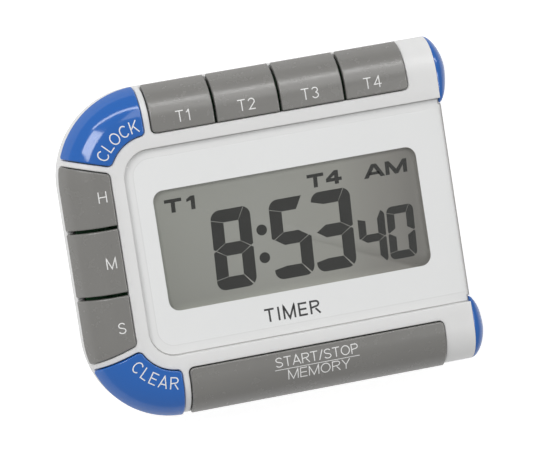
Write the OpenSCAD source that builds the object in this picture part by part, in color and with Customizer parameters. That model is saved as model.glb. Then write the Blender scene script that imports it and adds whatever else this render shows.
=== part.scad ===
// Laboratory countdown timer lying on its back.
// A half-round C-shaped frame (upper arm, left arm, lower arm) carries the keys
// and surrounds a flat display panel. Two domed caps close the ends of the arms.
// Frame of the model: +X to the right of the face, +Y to the top of the face,
// +Z out of the face. Z = 0 is the flat back, X = Y = 0 is the middle of the
// bounding box. All lengths are in millimetres.

/* [Body] */
// Length from the outer left side to the open ends of the arms
body_w = 86.3; // [86:0.1:87]
// Height from the upper arm to the lower arm
body_h = 72.7; // [72.6:0.1:73]
// Depth from the flat back to the crest of the frame
body_d = 18; // [18:0.1:18.6]
// Width of the half-round frame from its inner crease to its outer side
tube_w = 13.5; // [13.4:0.1:13.6]
// Radius of the rounded outer side of the frame
tube_r = 8; // [7.9:0.05:8.1]
// Outer corner radius of the frame seen from the front
corner_r = 19.5; // [19:0.1:20]
// Wall thickness of both covers
wall = 1.6; // [1.5:0.05:1.7]
// Height of the joint line between the two covers
split_z = 8; // [7.9:0.1:8]
// How far the end caps stand out from the arms
cap_out = 3.6; // [3.2:0.1:4]
// How far the end caps reach inwards past the crease
cap_in = 1.1; // [0.8:0.1:1.2]
// How far the flat middle part stands out past the open ends of the arms
panel_out = 0.4; // [0.2:0.1:0.5]

/* [Display] */
// Width of the clear window
win_w = 60; // [58:0.5:61]
// Height of the clear window
win_h = 26.5; // [26:0.1:27]
// Corner radius of the clear window
win_r = 2.4; // [2:0.1:3]
// Distance from the outer left side to the middle of the window
win_from_left = 49.25; // [49:0.05:49.5]
// Thickness of the clear lens
lens_t = 1.2; // [1:0.1:1.3]
// How far the lens seat lies below the crest of the frame
lens_seat = 1.5; // [1.5:0.1:1.6]

/* [Keys] */
// Distance from the inner crease to the inner edge of the keys
key_inset = 3.2; // [3.1:0.1:3.3]
// How far the keys stand proud of the frame
key_proud = 0.6; // [0.4:0.1:0.7]
// Travel of each key
key_travel = 0.6; // [0.4:0.1:0.6]
// Gap between a key and its opening
key_gap = 0.2; // [0.15:0.05:0.25]
// Gap between two keys that share an opening
key_split = 0.6; // [0.5:0.05:0.65]
// Gap between two keys of the left arm
side_split = 0.75; // [0.6:0.05:0.8]
// Left end of the key rows, from the middle of the window
row_x0 = -28.1; // [-28.3:0.1:-28]
// Right end of the key rows, from the middle of the window
row_x1 = 30.1; // [29.8:0.1:30.5]
// Pitch of the three keys of the left arm
side_pitch = 14.7; // [14.6:0.1:14.9]
// Slope of the ends of the left key group, in degrees
side_slope = 17; // [16:0.5:18]

/* [Electronics] */
// Underside of the circuit board
pcb_z = 9.6; // [9.6:0.1:9.6]
// Thickness of the circuit board
pcb_t = 1; // [0.9:0.1:1]
// Height of the rubber domes
dome_h = 2.5; // [2.4:0.1:2.5]
// Diameter of the round cell
cell_d = 10.3; // [9.8:0.1:10.4]
// Diameter of the sounder disc
disc_d = 17.8; // [17:0.1:17.8]

/* [Stand] */
// Width of the fold-out stand
stand_w = 34; // [30:0.5:34]
// Length of the stand from its hinge axis to its free end
stand_l = 24.6; // [22:0.2:24.6]
// Radius of the hinge pins
pin_r = 1.2; // [1.1:0.05:1.2]
// Radial clearance of the hinge pins
pin_clear = 0.05; // [0.03:0.01:0.08]

/* [Hidden] */
$fn = 96;

// Frame
key_low_rise = 2.6;               // lower outer edge of the keys above the arc centre
key_out = sqrt(pow(tube_r + key_proud, 2) - pow(key_low_rise, 2)) - tube_r; // past the sides
left_x = -(body_w + cap_out - key_out) / 2; // outer left side
end_x = left_x + body_w;          // plane of the open arm ends
inner_end_x = end_x - 3.1;        // right end of the board and of the cover lip
outer_y = body_h / 2;             // outer side of the upper arm
crease_x = left_x + tube_w;       // inner crease of the left arm
crease_y = outer_y - tube_w;      // inner crease of the upper arm
corner_x = left_x + corner_r;     // corner centre, X
corner_y = outer_y - corner_r;    // corner centre, Y (upper corner)
crease_r = corner_r - tube_w;     // inner crease radius at the corners
flat_w = tube_w - tube_r;         // flat part of the frame section at the front
arc_z = body_d - tube_r;          // centre height of the front and rear arcs
rear_r = arc_z;                   // radius of the rear arc
rear_flat = tube_w - rear_r;      // flat part of the frame section at the back
seat_z = body_d - lens_seat;      // lens seat, top of the panel
panel_t = 1.1;                    // panel thickness
panel_end_y = crease_y - cap_in - 0.15; // half height of the panel between the caps
front_in_z = seat_z - 0.5;        // top of the bosses and the end wall, inside the panel
win_x = left_x + win_from_left;   // middle of the window
win_gap = 0.4;                    // panel opening around the window

// Keys
key_wall = 1.6;                   // thickness of the key tops
key_side = 1.2;                   // thickness of the key sides
key_depth = 3.3;                  // depth of the inner side of the keys
key_top = body_d + key_proud;     // crest of the keys
key_low = arc_z + key_low_rise;   // lower outer edge of the keys
skirt_in = 10.4;                  // inner face of the key skirt, from the crease
flange_in = 1;                    // flange ends, in from the key ends
rim_z = key_low - key_travel - 0.2; // top of the rim below the keys
row_left = win_x + row_x0;
row_right = win_x + row_x1;
row_key_len = (row_right - row_left - 3 * key_split) / 4;
row_round = 0.9;                  // corner radius of the row openings
side_off = 0.72;                  // slanted end of the left keys from the radial line
corner_off = 1.0;                 // slanted end of the corner keys from the radial line
corner_key_x = corner_x - 0.2;    // straight end of the corner keys
beyond_x = left_x - 6;            // left limit of the key plans, clear of the frame
beyond_y = outer_y + 6;           // upper limit of the corner key plan
minute_half = side_pitch / 2 - side_split / 2; // half height of the middle key
hour_low = side_pitch / 2 + side_split / 2;    // lower end of the hour key

// Domes and the key plungers above them
pcb_top = pcb_z + pcb_t;
dome_inset = 6.5;                 // dome distance from the crease
dome_x = crease_x - dome_inset;   // domes of the left arm
dome_y = crease_y + dome_inset;   // domes of the upper arm
hour_dome_y = 14.4;
start_dome_xs = [row_left + 16, row_right - 16];
corner_dome_angle = 126;
corner_dome = [corner_x + (crease_r + dome_inset) * cos(corner_dome_angle),
               corner_y + (crease_r + dome_inset) * sin(corner_dome_angle)];

// Cell bay, inside limits
bay_x0 = -24.9;
bay_x1 = 23.9;
bay_y0 = 2.5;
bay_y1 = 13.5;
bay_top = 12.3;
cell_y = (bay_y0 + bay_y1) / 2;
cell_z = 7;
cell_len = 44.2;                  // with the tip
tip_len = 1.1;
contact_t = 0.4;                  // contact sheet
contact_gap = 0.1;                // contact sheet to bay wall
plus_x = bay_x1 - contact_gap - contact_t;  // inner face of the right contact
minus_x = bay_x0 + contact_gap + contact_t; // inner face of the left contact

// Stand
stand_x = -5;
hinge_y = -3;
hinge_z = 1.5;
stand_end_y = hinge_y - stand_l;
stand_block_y = -0.1;             // upper side of the block around the recess
pin_l = 1.5;

// Sounder, magnets and screws
buzzer_at = [29.5, -7.6];
buzzer_z = 3.4;                   // underside of the disc
buzzer_t = 0.25;
ceramic_t = 0.2;
magnet_r = 5;
magnet_at = [[-12, 21.8], [20, 21.8]];
case_post_h = 5;                  // rear posts, where the front bosses begin
case_screw_at = screw_grid(30);
board_screw_at = screw_grid(14);

// Display parts
glass_t = 0.8;
glass_mid_z = seat_z - 2.1;       // between the two glass plates
glass_low_z = glass_mid_z - glass_t;

white = [0.93, 0.93, 0.92];
grey = [0.49, 0.48, 0.47];
blue = [0.16, 0.38, 0.74];
steel = [0.6, 0.6, 0.62];
contact_metal = [0.8, 0.8, 0.78];
wire_red = [0.75, 0.1, 0.1];
wire_black = [0.1, 0.1, 0.1];

// Four screw places around the middle of the window
function screw_grid(half_w) = [for (y = [20, -20], x = [-half_w, half_w]) [win_x + x, y]];

// Height at x of the slanted line through the corner centre, shifted across itself
function slant_y(x, shift) =
  corner_y + (corner_x - x) * tan(side_slope) + shift / cos(side_slope);

function row_key_x(i) = row_left + i * (row_key_len + key_split);

// ---------- helpers ----------

module box(x0, y0, z0, x1, y1, z1) {
  translate([x0, y0, z0]) cube([x1 - x0, y1 - y0, z1 - z0]);
}

// Box centred across the window
module win_box(half_w, y0, z0, y1, z1) {
  box(win_x - half_w, y0, z0, win_x + half_w, y1, z1);
}

// Box over the inside of the cell bay, grown in X and Y
module bay_box(grow_x, grow_y, z0, z1) {
  box(bay_x0 - grow_x, bay_y0 - grow_y, z0, bay_x1 + grow_x, bay_y1 + grow_y, z1);
}

// Box across the width of the stand, grown in X
module stand_box(grow, y0, z0, y1, z1) {
  box(stand_x - stand_w / 2 - grow, y0, z0, stand_x + stand_w / 2 + grow, y1, z1);
}

// Cylinder along +X
module rod_x(x, y, z, radius, length) {
  translate([x, y, z]) rotate([0, 90, 0]) cylinder(r = radius, h = length);
}

// Rod on the hinge axis, past the stand at both sides
module hinge_rod(radius, past) {
  rod_x(stand_x - stand_w / 2 - past, hinge_y, hinge_z, radius, stand_w + 2 * past);
}

// Rectangle with round corners made from true circles
module round_rect(x0, y0, x1, y1, radius) {
  translate([x0 + radius, y0]) square([x1 - x0 - 2 * radius, y1 - y0]);
  translate([x0, y0 + radius]) square([x1 - x0, y1 - y0 - 2 * radius]);
  for (x = [x0 + radius, x1 - radius], y = [y0 + radius, y1 - radius])
    translate([x, y]) circle(r = radius);
}

module at_each(places, z = 0) {
  for (place = places) translate([place[0], place[1], z]) children();
}

// Children as given, and mirrored from the upper to the lower half
module both_halves() {
  for (m = [0, 1]) mirror([0, m, 0]) children();
}

// ---------- frame sweeps and sections ----------
// Sections have their first axis outward from the crease and their second axis up.

module along_arm(x, length) {
  translate([x, crease_y, 0]) rotate([90, 0, 90]) linear_extrude(length) children();
}

module around_corner() {
  translate([corner_x, corner_y, 0]) rotate([0, 0, 90]) rotate_extrude(angle = 90)
    translate([crease_r, 0]) children();
}

module along_left_arm() {
  translate([crease_x, -corner_y, 0]) rotate([90, 0, 180]) linear_extrude(2 * corner_y)
    children();
}

// Whole C, with both arms ending at x_end
module sweep_frame(x_end) {
  both_halves() {
    along_arm(corner_x, x_end - corner_x) children();
    around_corner() children();
  }
  along_left_arm() children();
}

// Left arm and upper corner
module sweep_left_keys() {
  along_left_arm() children();
  around_corner() children();
}

// Circle with its centre level with the arcs, clipped to a rectangle
module arc_part(arc_x, radius, x, z, size) {
  intersection() {
    translate([arc_x, arc_z]) circle(r = radius);
    translate([x, z]) square(size);
  }
}

// Frame section from height z0 to the crest
module front_section(inset, z0) {
  translate([0, z0]) square([flat_w, body_d - inset - z0]);
  arc_part(flat_w, tube_r - inset, flat_w, z0, [tube_r, body_d]);
  arc_part(rear_flat, rear_r - inset, flat_w, z0, [tube_r, arc_z - z0]);
}

// Frame section from the back to height z1
module rear_section(inset, z1) {
  translate([0, inset]) square([rear_flat, z1 - inset]);
  arc_part(rear_flat, rear_r - inset, rear_flat, 0, [rear_r, z1]);
}

// Whole frame section, starting at start_x from the crease
module full_section(inset, start_x) {
  translate([start_x, inset]) square([rear_flat - start_x, body_d - 2 * inset]);
  translate([rear_flat, arc_z]) square([flat_w - rear_flat, body_d - inset - arc_z]);
  arc_part(flat_w, tube_r - inset, flat_w, arc_z, [tube_r, tube_r]);
  arc_part(rear_flat, rear_r - inset, rear_flat, 0, [rear_r, arc_z]);
}

// Outline of the flat middle part inside the crease
module panel_outline(inset = 0) {
  half_h = crease_y - inset;
  end_half_h = panel_end_y - inset;
  translate([corner_x, -half_h]) square([end_x - inset - corner_x, 2 * half_h]);
  translate([corner_x, -end_half_h])
    square([end_x + panel_out - inset - corner_x, 2 * end_half_h]);
  translate([crease_x + inset, -corner_y])
    square([corner_x - crease_x - inset, 2 * corner_y]);
  for (s = [-1, 1]) translate([corner_x, s * corner_y]) circle(r = crease_r - inset);
}

// Right side wall between the arms
module end_wall(z0, z1) {
  box(end_x - wall, -crease_y, z0, end_x, crease_y, z1);
  box(end_x - wall, -panel_end_y, z0, end_x + panel_out, panel_end_y, z1);
}

// ---------- key openings ----------

// Upper key row
module row_plan(grow) {
  round_rect(row_left - grow, crease_y + key_inset - grow, row_right + grow, outer_y + 8,
    row_round + grow);
}

// Left key group, with slanted ends and its inner edge on the key line
module side_plan(grow) {
  x1 = crease_x - key_inset + grow;
  shift = grow - side_off;
  difference() {
    polygon([[x1, slant_y(x1, shift)], [beyond_x, slant_y(beyond_x, shift)],
             [beyond_x, -slant_y(beyond_x, shift)], [x1, -slant_y(x1, shift)]]);
    for (s = [-1, 1])
      translate([corner_x, s * corner_y]) circle(r = crease_r + key_inset - grow);
  }
}

// Upper corner key
module corner_plan(grow) {
  x1 = corner_key_x + grow;
  shift = corner_off - grow;
  difference() {
    polygon([[x1, slant_y(x1, shift)], [x1, beyond_y],
             [beyond_x, beyond_y], [beyond_x, slant_y(beyond_x, shift)]]);
    translate([corner_x, corner_y]) circle(r = crease_r + key_inset - grow);
  }
}

module key_opening() {
  translate([0, 0, rim_z]) linear_extrude(20) children();
}

// ---------- keys ----------

// Solid outside of a key section, with a skirt inside the outer wall
module key_section() {
  translate([key_inset, key_top - key_depth]) square([flat_w - key_inset, key_depth]);
  arc_part(flat_w, tube_r + key_proud, flat_w, key_low, [tube_r + 2, 20]);
  translate([skirt_in, key_low - 1.2]) square([1.1, 1.3]);
}

// Retaining flange under the inner edge of the opening
module key_flange() {
  translate([1.9, key_top - key_depth]) square([key_inset - 1.6, 1]);
}

module key_hollow() {
  translate([key_inset + key_side, 0])
    square([flat_w - key_inset - key_side, key_top - key_wall]);
  arc_part(flat_w, tube_r + key_proud - key_wall, flat_w, 0, [skirt_in - flat_w, 30]);
}

// Plunger that rests on a dome
module plunger(x, y) {
  z0 = pcb_top + dome_h;
  translate([x, y, z0]) cylinder(r = 1.6, h = key_top - key_wall + 0.2 - z0);
}

// Straight key of the upper arm
module row_key(x0, x1, plunger_xs) {
  length = x1 - x0;
  along_arm(x0 + flange_in, length - 2 * flange_in) key_flange();
  difference() {
    intersection() {
      along_arm(x0, length) key_section();
      linear_extrude(40) row_plan(0);
    }
    along_arm(x0 + key_side, length - 2 * key_side) key_hollow();
  }
  for (x = plunger_xs) plunger(x, dome_y);
}

// Plans of the keys swept around the left side; inset moves their ends inwards
function hour_plan(inset) = let (shift = -side_off - inset)
  [[crease_x, hour_low + inset], [crease_x, slant_y(crease_x, shift)],
   [beyond_x, slant_y(beyond_x, shift)], [beyond_x, hour_low + inset]];

function minute_plan(inset) = let (half_h = minute_half - inset)
  [[beyond_x, -half_h], [crease_x, -half_h], [crease_x, half_h], [beyond_x, half_h]];

function clock_plan(inset) = let (shift = corner_off + inset, x1 = corner_key_x)
  [[x1 - inset, slant_y(x1, shift)], [x1 - inset, beyond_y],
   [beyond_x, beyond_y], [beyond_x, slant_y(beyond_x, shift)]];

// Key cut from the sweep by its plans: outside, flange and hollow
module swept_key(outer_plan, flange_plan, hollow_plan) {
  intersection() {
    sweep_left_keys() key_flange();
    linear_extrude(30) polygon(flange_plan);
  }
  difference() {
    intersection() {
      sweep_left_keys() key_section();
      linear_extrude(30) polygon(outer_plan);
    }
    intersection() {
      sweep_left_keys() key_hollow();
      linear_extrude(40) polygon(hollow_plan);
    }
  }
}

// i counts the four keys of the upper row from the left
module button_t(i) color(grey)
  row_key(row_key_x(i), row_key_x(i) + row_key_len, [row_key_x(i) + row_key_len / 2]);

module button_start_stop() color(grey)
  mirror([0, 1, 0]) row_key(row_left, row_right, start_dome_xs);

module button_hour() color(grey) {
  swept_key(hour_plan(0), hour_plan(flange_in), hour_plan(key_side));
  plunger(dome_x, hour_dome_y);
}

module button_second() mirror([0, 1, 0]) button_hour();

module button_minute() color(grey) {
  swept_key(minute_plan(0), minute_plan(flange_in), minute_plan(key_side));
  plunger(dome_x, 0);
}

module button_clock() color(blue) {
  swept_key(clock_plan(0), clock_plan(flange_in), clock_plan(key_side));
  plunger(corner_dome[0], corner_dome[1]);
}

module button_clear() mirror([0, 1, 0]) button_clock();

// Half section of a dome: radius, height above the board
dome_profile = [[0, 1.6], [2.2, 1.6], [2.9, 0], [3.4, 0], [3.4, 0.6],
  [2.9, 0.7], [1.9, 2.0], [1.9, dome_h], [0, dome_h]];

// Conductive rubber dome under a key
module dome(x, y) color([0.25, 0.25, 0.26])
  translate([x, y, pcb_top]) rotate_extrude() polygon(dome_profile);

module dome_t(i) dome(row_key_x(i) + row_key_len / 2, dome_y);
module dome_hour() dome(dome_x, hour_dome_y);
module dome_minute() dome(dome_x, 0);
module dome_second() dome(dome_x, -hour_dome_y);
module dome_start_stop() for (x = start_dome_xs) dome(x, -dome_y);
module dome_clock() dome(corner_dome[0], corner_dome[1]);
module dome_clear() mirror([0, 1, 0]) dome_clock();

// ---------- covers ----------

module front_shell() sweep_frame(end_x) difference() {
  front_section(0, split_z);
  difference() {
    front_section(wall, split_z - 1);
    // keeps a wall below the crest along the crease
    translate([-1, seat_z - panel_t]) square([wall + 1, 10]);
  }
  // opens the crease side below the panel
  translate([-1, split_z - 1]) square([flat_w + 1, seat_z - panel_t - split_z + 1]);
}

// Flat panel with the display opening
module front_panel() difference() {
  half_w = win_w / 2 + win_gap;
  half_h = win_h / 2 + win_gap;
  translate([0, 0, seat_z - panel_t]) linear_extrude(panel_t) panel_outline();
  translate([0, 0, seat_z - 5]) linear_extrude(10)
    round_rect(win_x - half_w, -half_h, win_x + half_w, half_h, win_r + win_gap);
}

module front_cover() color(white) difference() {
  union() {
    front_shell();
    front_panel();
    end_wall(split_z, front_in_z);
    // screw bosses
    at_each(case_screw_at, case_post_h) cylinder(r = 2.3, h = front_in_z - case_post_h);
    at_each(board_screw_at, pcb_top) cylinder(r = 1.9, h = front_in_z - pcb_top);
  }
  both_halves() {
    key_opening() row_plan(key_gap);
    key_opening() corner_plan(key_gap);
  }
  key_opening() side_plan(key_gap);
  // pilot holes
  at_each(case_screw_at, case_post_h - 1) cylinder(r = 0.85, h = 9);
  at_each(board_screw_at, pcb_top - 1) cylinder(r = 0.65, h = 4.6);
}

module rear_shell() {
  lip_in = tube_w - wall - 1.15;
  sweep_frame(end_x) difference() {
    rear_section(0, split_z);
    translate([-1, wall]) square([rear_flat + 1, split_z]);
    rear_section(wall, split_z + 1);
  }
  // lip that centres the front cover
  sweep_frame(inner_end_x) {
    translate([lip_in, split_z - 1.6]) square([1.4, 1.6]);
    translate([lip_in, split_z - 0.1]) square([0.8, 1.4]);
  }
  linear_extrude(wall) panel_outline();
  end_wall(0, split_z);
}

// Blocks that the stand recess is cut into
module stand_block() {
  stand_box(2.4, stand_end_y - 1.6, 0, stand_block_y, 3.5);
  stand_box(2.4, hinge_y - 3.2, 0, stand_block_y, 4.3);
  box(stand_x - 5.5, stand_end_y - 4.4, 1.2, stand_x + 5.5, stand_end_y, 3.2);
}

module stand_recess() {
  stand_box(0.2, stand_end_y - 0.4, -1, hinge_y + 1.7, 2.3);
  // deeper around the hinge
  stand_box(0.2, hinge_y - 2, -1, hinge_y + 1.7, 3.1);
  // round notch at the free end
  translate([stand_x, stand_end_y + 0.6, -1]) cylinder(r = 4, h = 2.1);
  hinge_rod(pin_r + pin_clear, pin_l + 0.2);
}

// Stepped ring that carries the rim of the disc
module sounder_seat() at_each([buzzer_at]) difference() {
  cylinder(r = disc_d / 2 + 1, h = 4);
  translate([0, 0, buzzer_z]) cylinder(r = disc_d / 2 + 0.1, h = 2);
  translate([0, 0, wall]) cylinder(r = disc_d / 2 - 0.9, h = 4);
}

// One hole within a ring of six
module sound_outlet() at_each([buzzer_at], -1) {
  cylinder(r = 0.7, h = 4);
  for (a = [0:60:300]) translate([3.2 * cos(a), 3.2 * sin(a), 0]) cylinder(r = 0.7, h = 4);
}

module bay_cuts() {
  bay_box(0, 0, -1, bay_top);
  // door recess and its finger notch
  bay_box(0.6, 0.8, -1, 1.15);
  box(bay_x1 - 2, cell_y - 4, -1, bay_x1 + 2.4, cell_y + 4, 0.7);
  // slots for the contact tabs
  for (x = [bay_x0, bay_x1 - 0.6]) box(x, 0, 5.8, x + 0.6, bay_y0 + 1, 8.2);
}

module rear_cover() color(white) difference() {
  union() {
    rear_shell();
    // screw posts
    at_each(case_screw_at) cylinder(r = 3.2, h = case_post_h);
    // magnet seats
    at_each(magnet_at) cylinder(r = 6.2, h = 3.2);
    // walls of the cell bay
    bay_box(1.2, 1.2, 0, bay_top + 0.8);
    stand_block();
    sounder_seat();
  }
  // screw head recesses and screw holes
  at_each(case_screw_at, -1) cylinder(r = 2.1, h = 2.9);
  at_each(case_screw_at, 1) cylinder(r = 1.15, h = 6);
  at_each(magnet_at, -1) cylinder(r = magnet_r + 0.05, h = 3.1);
  bay_cuts();
  stand_recess();
  sound_outlet();
}

module display_lens() color([0.9, 0.93, 0.95])
  translate([0, 0, seat_z]) linear_extrude(lens_t) panel_outline(0.12);

module battery_door() color(white) {
  difference() {
    bay_box(0.4, 0.6, 0, 1.1);
    // grip grooves
    for (i = [0:3]) {
      x = bay_x1 - 5 - i * 1.8;
      box(x, cell_y - 4, -1, x + 0.8, cell_y + 4, 0.35);
    }
  }
  // inner ribs along both long edges
  for (y = [bay_y0 + 0.3, bay_y1 - 1.3]) box(bay_x0 + 4, y, 1.05, bay_x1 - 4, y + 1, 2.2);
}

// Outline of an end cap: the frame section, widened past the crease with rounded inner corners
module cap_section() {
  round_r = 1.5;
  full_section(0, 0.5);
  translate([-cap_in, round_r]) square([cap_in + 1, body_d - 2 * round_r]);
  for (z = [round_r, body_d - round_r])
    translate([round_r - cap_in, z]) circle(r = round_r);
}

module end_cap() color(blue) {
  mid = [6.2, body_d / 2]; // point the dome shrinks towards
  slice_t = 0.02;
  steps = 7;
  step_angle = 11;
  // dome: hull of thin slices that shrink outwards
  hull() for (i = [0:steps]) {
    angle = i * step_angle;
    along_arm(end_x + (cap_out - slice_t) * sin(angle) / sin(steps * step_angle), slice_t)
      translate(mid) scale(pow(cos(angle), 0.75)) translate(-mid) cap_section($fn = 32);
  }
  // spigot inside the arm
  along_arm(end_x - 2.6, 2.7) difference() {
    full_section(wall + 0.15, wall + 0.2);
    full_section(wall + 1.35, wall + 1.4);
  }
}

module end_cap_upper() end_cap();
module end_cap_lower() mirror([0, 1, 0]) end_cap();

module stand() color(white) {
  slot_half_w = stand_w / 2 - 6;
  difference() {
    stand_box(0, stand_end_y, 0.25, hinge_y, 1.95);
    // lightening slot
    translate([0, 0, -1]) linear_extrude(4)
      round_rect(stand_x - slot_half_w, stand_end_y + 7, stand_x + slot_half_w, hinge_y - 5, 2);
  }
  // hinge barrel and pins
  hinge_rod(1.35, 0);
  hinge_rod(pin_r, pin_l);
}

module magnets() color([0.72, 0.72, 0.74]) at_each(magnet_at, 0.05) cylinder(r = magnet_r, h = 2);

// Pan head screw pointing up from its head face, with a cross recess
module screw(head_r, head_h, shank_r, length) difference() {
  union() {
    cylinder(r = head_r, h = head_h);
    cylinder(r = shank_r, h = head_h + length);
  }
  for (a = [0, 90]) rotate([0, 0, a])
    box(-head_r * 0.6, -0.2, -1, head_r * 0.6, 0.2, head_h * 0.5);
}

module casing_screws() color(steel) at_each(case_screw_at, 0.5)
  screw(head_r = 1.9, head_h = 1.4, shank_r = 1, length = 8.5);

module board_screws() color(steel) at_each(board_screw_at, pcb_z - 0.9)
  screw(head_r = 1.6, head_h = 0.9, shank_r = 0.8, length = 4.2);

// ---------- electronics ----------

// Outline of the frame inset to the edge of the board
module board_outline() {
  inset = tube_w - 11.2;
  half_h = outer_y - inset;
  translate([corner_x, -half_h]) square([inner_end_x - corner_x, 2 * half_h]);
  translate([left_x + inset, -corner_y]) square([corner_r - inset, 2 * corner_y]);
  for (s = [-1, 1]) translate([corner_x, s * corner_y]) circle(r = corner_r - inset);
}

module circuit_board() color([0.1, 0.36, 0.2])
  translate([0, 0, pcb_z]) linear_extrude(pcb_t) difference() {
    bay_gap = 1.4;
    board_outline();
    translate([bay_x0 - bay_gap, bay_y0 - bay_gap])
      square([bay_x1 - bay_x0 + 2 * bay_gap, bay_y1 - bay_y0 + 2 * bay_gap]);
    at_each(case_screw_at) circle(r = 2.6);
    at_each(board_screw_at) circle(r = 1);
  }

// Square part of a shallow sphere under the board
module main_chip() color([0.08, 0.08, 0.08]) {
  chip_y = -14;
  half_w = 5;
  intersection() {
    translate([0, chip_y, pcb_z + 7]) sphere(r = 8.4);
    box(-half_w, chip_y - half_w, pcb_z - 2, half_w, chip_y + half_w, pcb_z);
  }
}

module quartz_crystal() color([0.75, 0.75, 0.76]) {
  can_x = -17;
  can_y = -10;
  can_z = pcb_z - 1.3;
  rod_x(can_x, can_y, can_z, 1, 6);
  // two legs bent up to the board
  for (y = [can_y - 0.35, can_y + 0.35]) {
    rod_x(can_x - 2, y, can_z, 0.15, 2.2);
    translate([can_x - 1.85, y, can_z]) cylinder(r = 0.17, h = pcb_z - can_z);
  }
}

// Small box hanging under the board
module chip_part(x, y, size) {
  translate([x, y, pcb_z - size[2]]) cube(size);
}

module chip_parts() {
  color([0.15, 0.15, 0.15]) for (i = [0:5]) chip_part(8 + i * 2.2, -18, [1.2, 2, 0.6]);
  color([0.6, 0.5, 0.4]) for (i = [0:3]) chip_part(-16 + i * 2.6, -17, [1.4, 2.4, 0.8]);
  color([0.1, 0.1, 0.1]) chip_part(14, -12, [3, 2.5, 1.1]);
}

module lcd_glass() color([0.62, 0.64, 0.6]) {
  win_box(33, -16, glass_mid_z, 16, glass_mid_z + glass_t);
  win_box(33, -13, glass_low_z, 16, glass_mid_z);
}

module lcd_reflector() color([0.7, 0.71, 0.68])
  win_box(32, -12.6, glass_low_z - 0.2, 15.6, glass_low_z);

module lcd_frame() color([0.9, 0.9, 0.88]) difference() {
  win_box(35, -17.3, pcb_top, 17.3, seat_z - panel_t - 0.05);
  // seat of the glass, and the opening below it
  win_box(33.15, -16.15, seat_z - 3.15, 16.15, seat_z);
  win_box(31.2, -16.15, 0, 15, seat_z);
}

module zebra_strip() color([0.85, 0.45, 0.5]) win_box(30, -15.7, pcb_top, -13.7, glass_mid_z);

module buzzer_disc() color([0.8, 0.66, 0.3])
  at_each([buzzer_at], buzzer_z) cylinder(r = disc_d / 2, h = buzzer_t);

module buzzer_ceramic() color([0.88, 0.86, 0.8])
  at_each([buzzer_at], buzzer_z + buzzer_t) cylinder(r = 6.4, h = ceramic_t);

// ---------- wires and cell ----------

function unit(v) = v / norm(v);

// Direction of a path at point i
function tangent(path, i) = let (last = len(path) - 1)
  i == 0 ? unit(path[1] - path[0])
  : i == last ? unit(path[i] - path[i - 1])
  : unit(unit(path[i + 1] - path[i]) + unit(path[i] - path[i - 1]));

// Round wire along a path, with rings lying across it
module wire(path, radius, sides = 10) {
  last = len(path) - 1;
  up = [0.31, 0.42, 0.85]; // parallel to no part of any path
  points = [for (i = [0:last])
    let (along = tangent(path, i), side = unit(cross(along, up)), rise = cross(along, side))
    for (k = [0:sides - 1]) let (a = 360 * k / sides)
      path[i] + radius * (cos(a) * side + sin(a) * rise)];
  faces = concat(
    [[for (k = [0:sides - 1]) k]],
    [[for (k = [sides - 1:-1:0]) last * sides + k]],
    [for (i = [0:last - 1], k = [0:sides - 1])
      [i * sides + k, (i + 1) * sides + k, (i + 1) * sides + (k + 1) % sides]],
    [for (i = [0:last - 1], k = [0:sides - 1])
      [i * sides + k, (i + 1) * sides + (k + 1) % sides, i * sides + (k + 1) % sides]]);
  polyhedron(points = points, faces = faces);
}

// Thin wire on a smooth curve through four control points
module lead(p0, p1, p2, p3) {
  steps = 12;
  wire([for (i = [0:steps]) let (s = i / steps)
    pow(1 - s, 3) * p0 + 3 * pow(1 - s, 2) * s * p1 + 3 * (1 - s) * s * s * p2
      + pow(s, 3) * p3], 0.45);
}

// Lead that rises from the sounder and ends under the board
module buzzer_lead(x0, y0, z0, x1, y1) {
  lead([x0, y0, z0], [x0, y0, 7], [x1, y1, 6.5], [x1, y1, pcb_z]);
}

module buzzer_wires() {
  disc_top = buzzer_z + buzzer_t;
  color(wire_red) buzzer_lead(27.5, -10.2, disc_top + ceramic_t, 23.5, -14);
  color(wire_black) buzzer_lead(22.1, -8.6, disc_top, 19.5, -13);
}

// Lead from a contact tab at x to the board at x1
module battery_lead(x, x1) {
  lead([x, 0.3, cell_z], [x, -2.5, cell_z], [x1, -3.5, 7.2], [x1, -3.5, pcb_z]);
}

module battery_wires() {
  color(wire_red) battery_lead(bay_x1 - 0.3, bay_x1 - 2.5);
  color(wire_black) battery_lead(bay_x0 + 0.3, bay_x0 + 2.5);
}

// Body and tip, overlapping by 0.1
module battery() color([0.75, 0.45, 0.2]) {
  rod_x(plus_x - cell_len, cell_y, cell_z, cell_d / 2, cell_len - tip_len + 0.1);
  rod_x(plus_x - tip_len, cell_y, cell_z, 1.9, tip_len);
}

// Contact sheet with a tab through the bay wall
module contact_plate(x) {
  box(x, bay_y0 + 0.2, 2.6, x + contact_t, bay_y1 - 0.2, 11.8);
  box(x, 0.3, cell_z - 1, x + contact_t, bay_y0 + 0.3, cell_z + 1);
}

module battery_plate() color(contact_metal) contact_plate(plus_x);

module battery_spring() color(contact_metal) {
  contact_plate(bay_x0 + contact_gap);
  // conical coil between the plate and the flat end of the cell
  space = plus_x - cell_len - minus_x;
  turns = 3.5;
  steps = 60;
  wire([for (i = [0:steps])
    let (s = i / steps, a = 360 * turns * s, coil_r = 3.9 - 1.9 * s)
      [minus_x + 0.25 + (space - 0.6) * s, cell_y + coil_r * cos(a), cell_z + coil_r * sin(a)]],
    0.3, 8);
}

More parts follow.
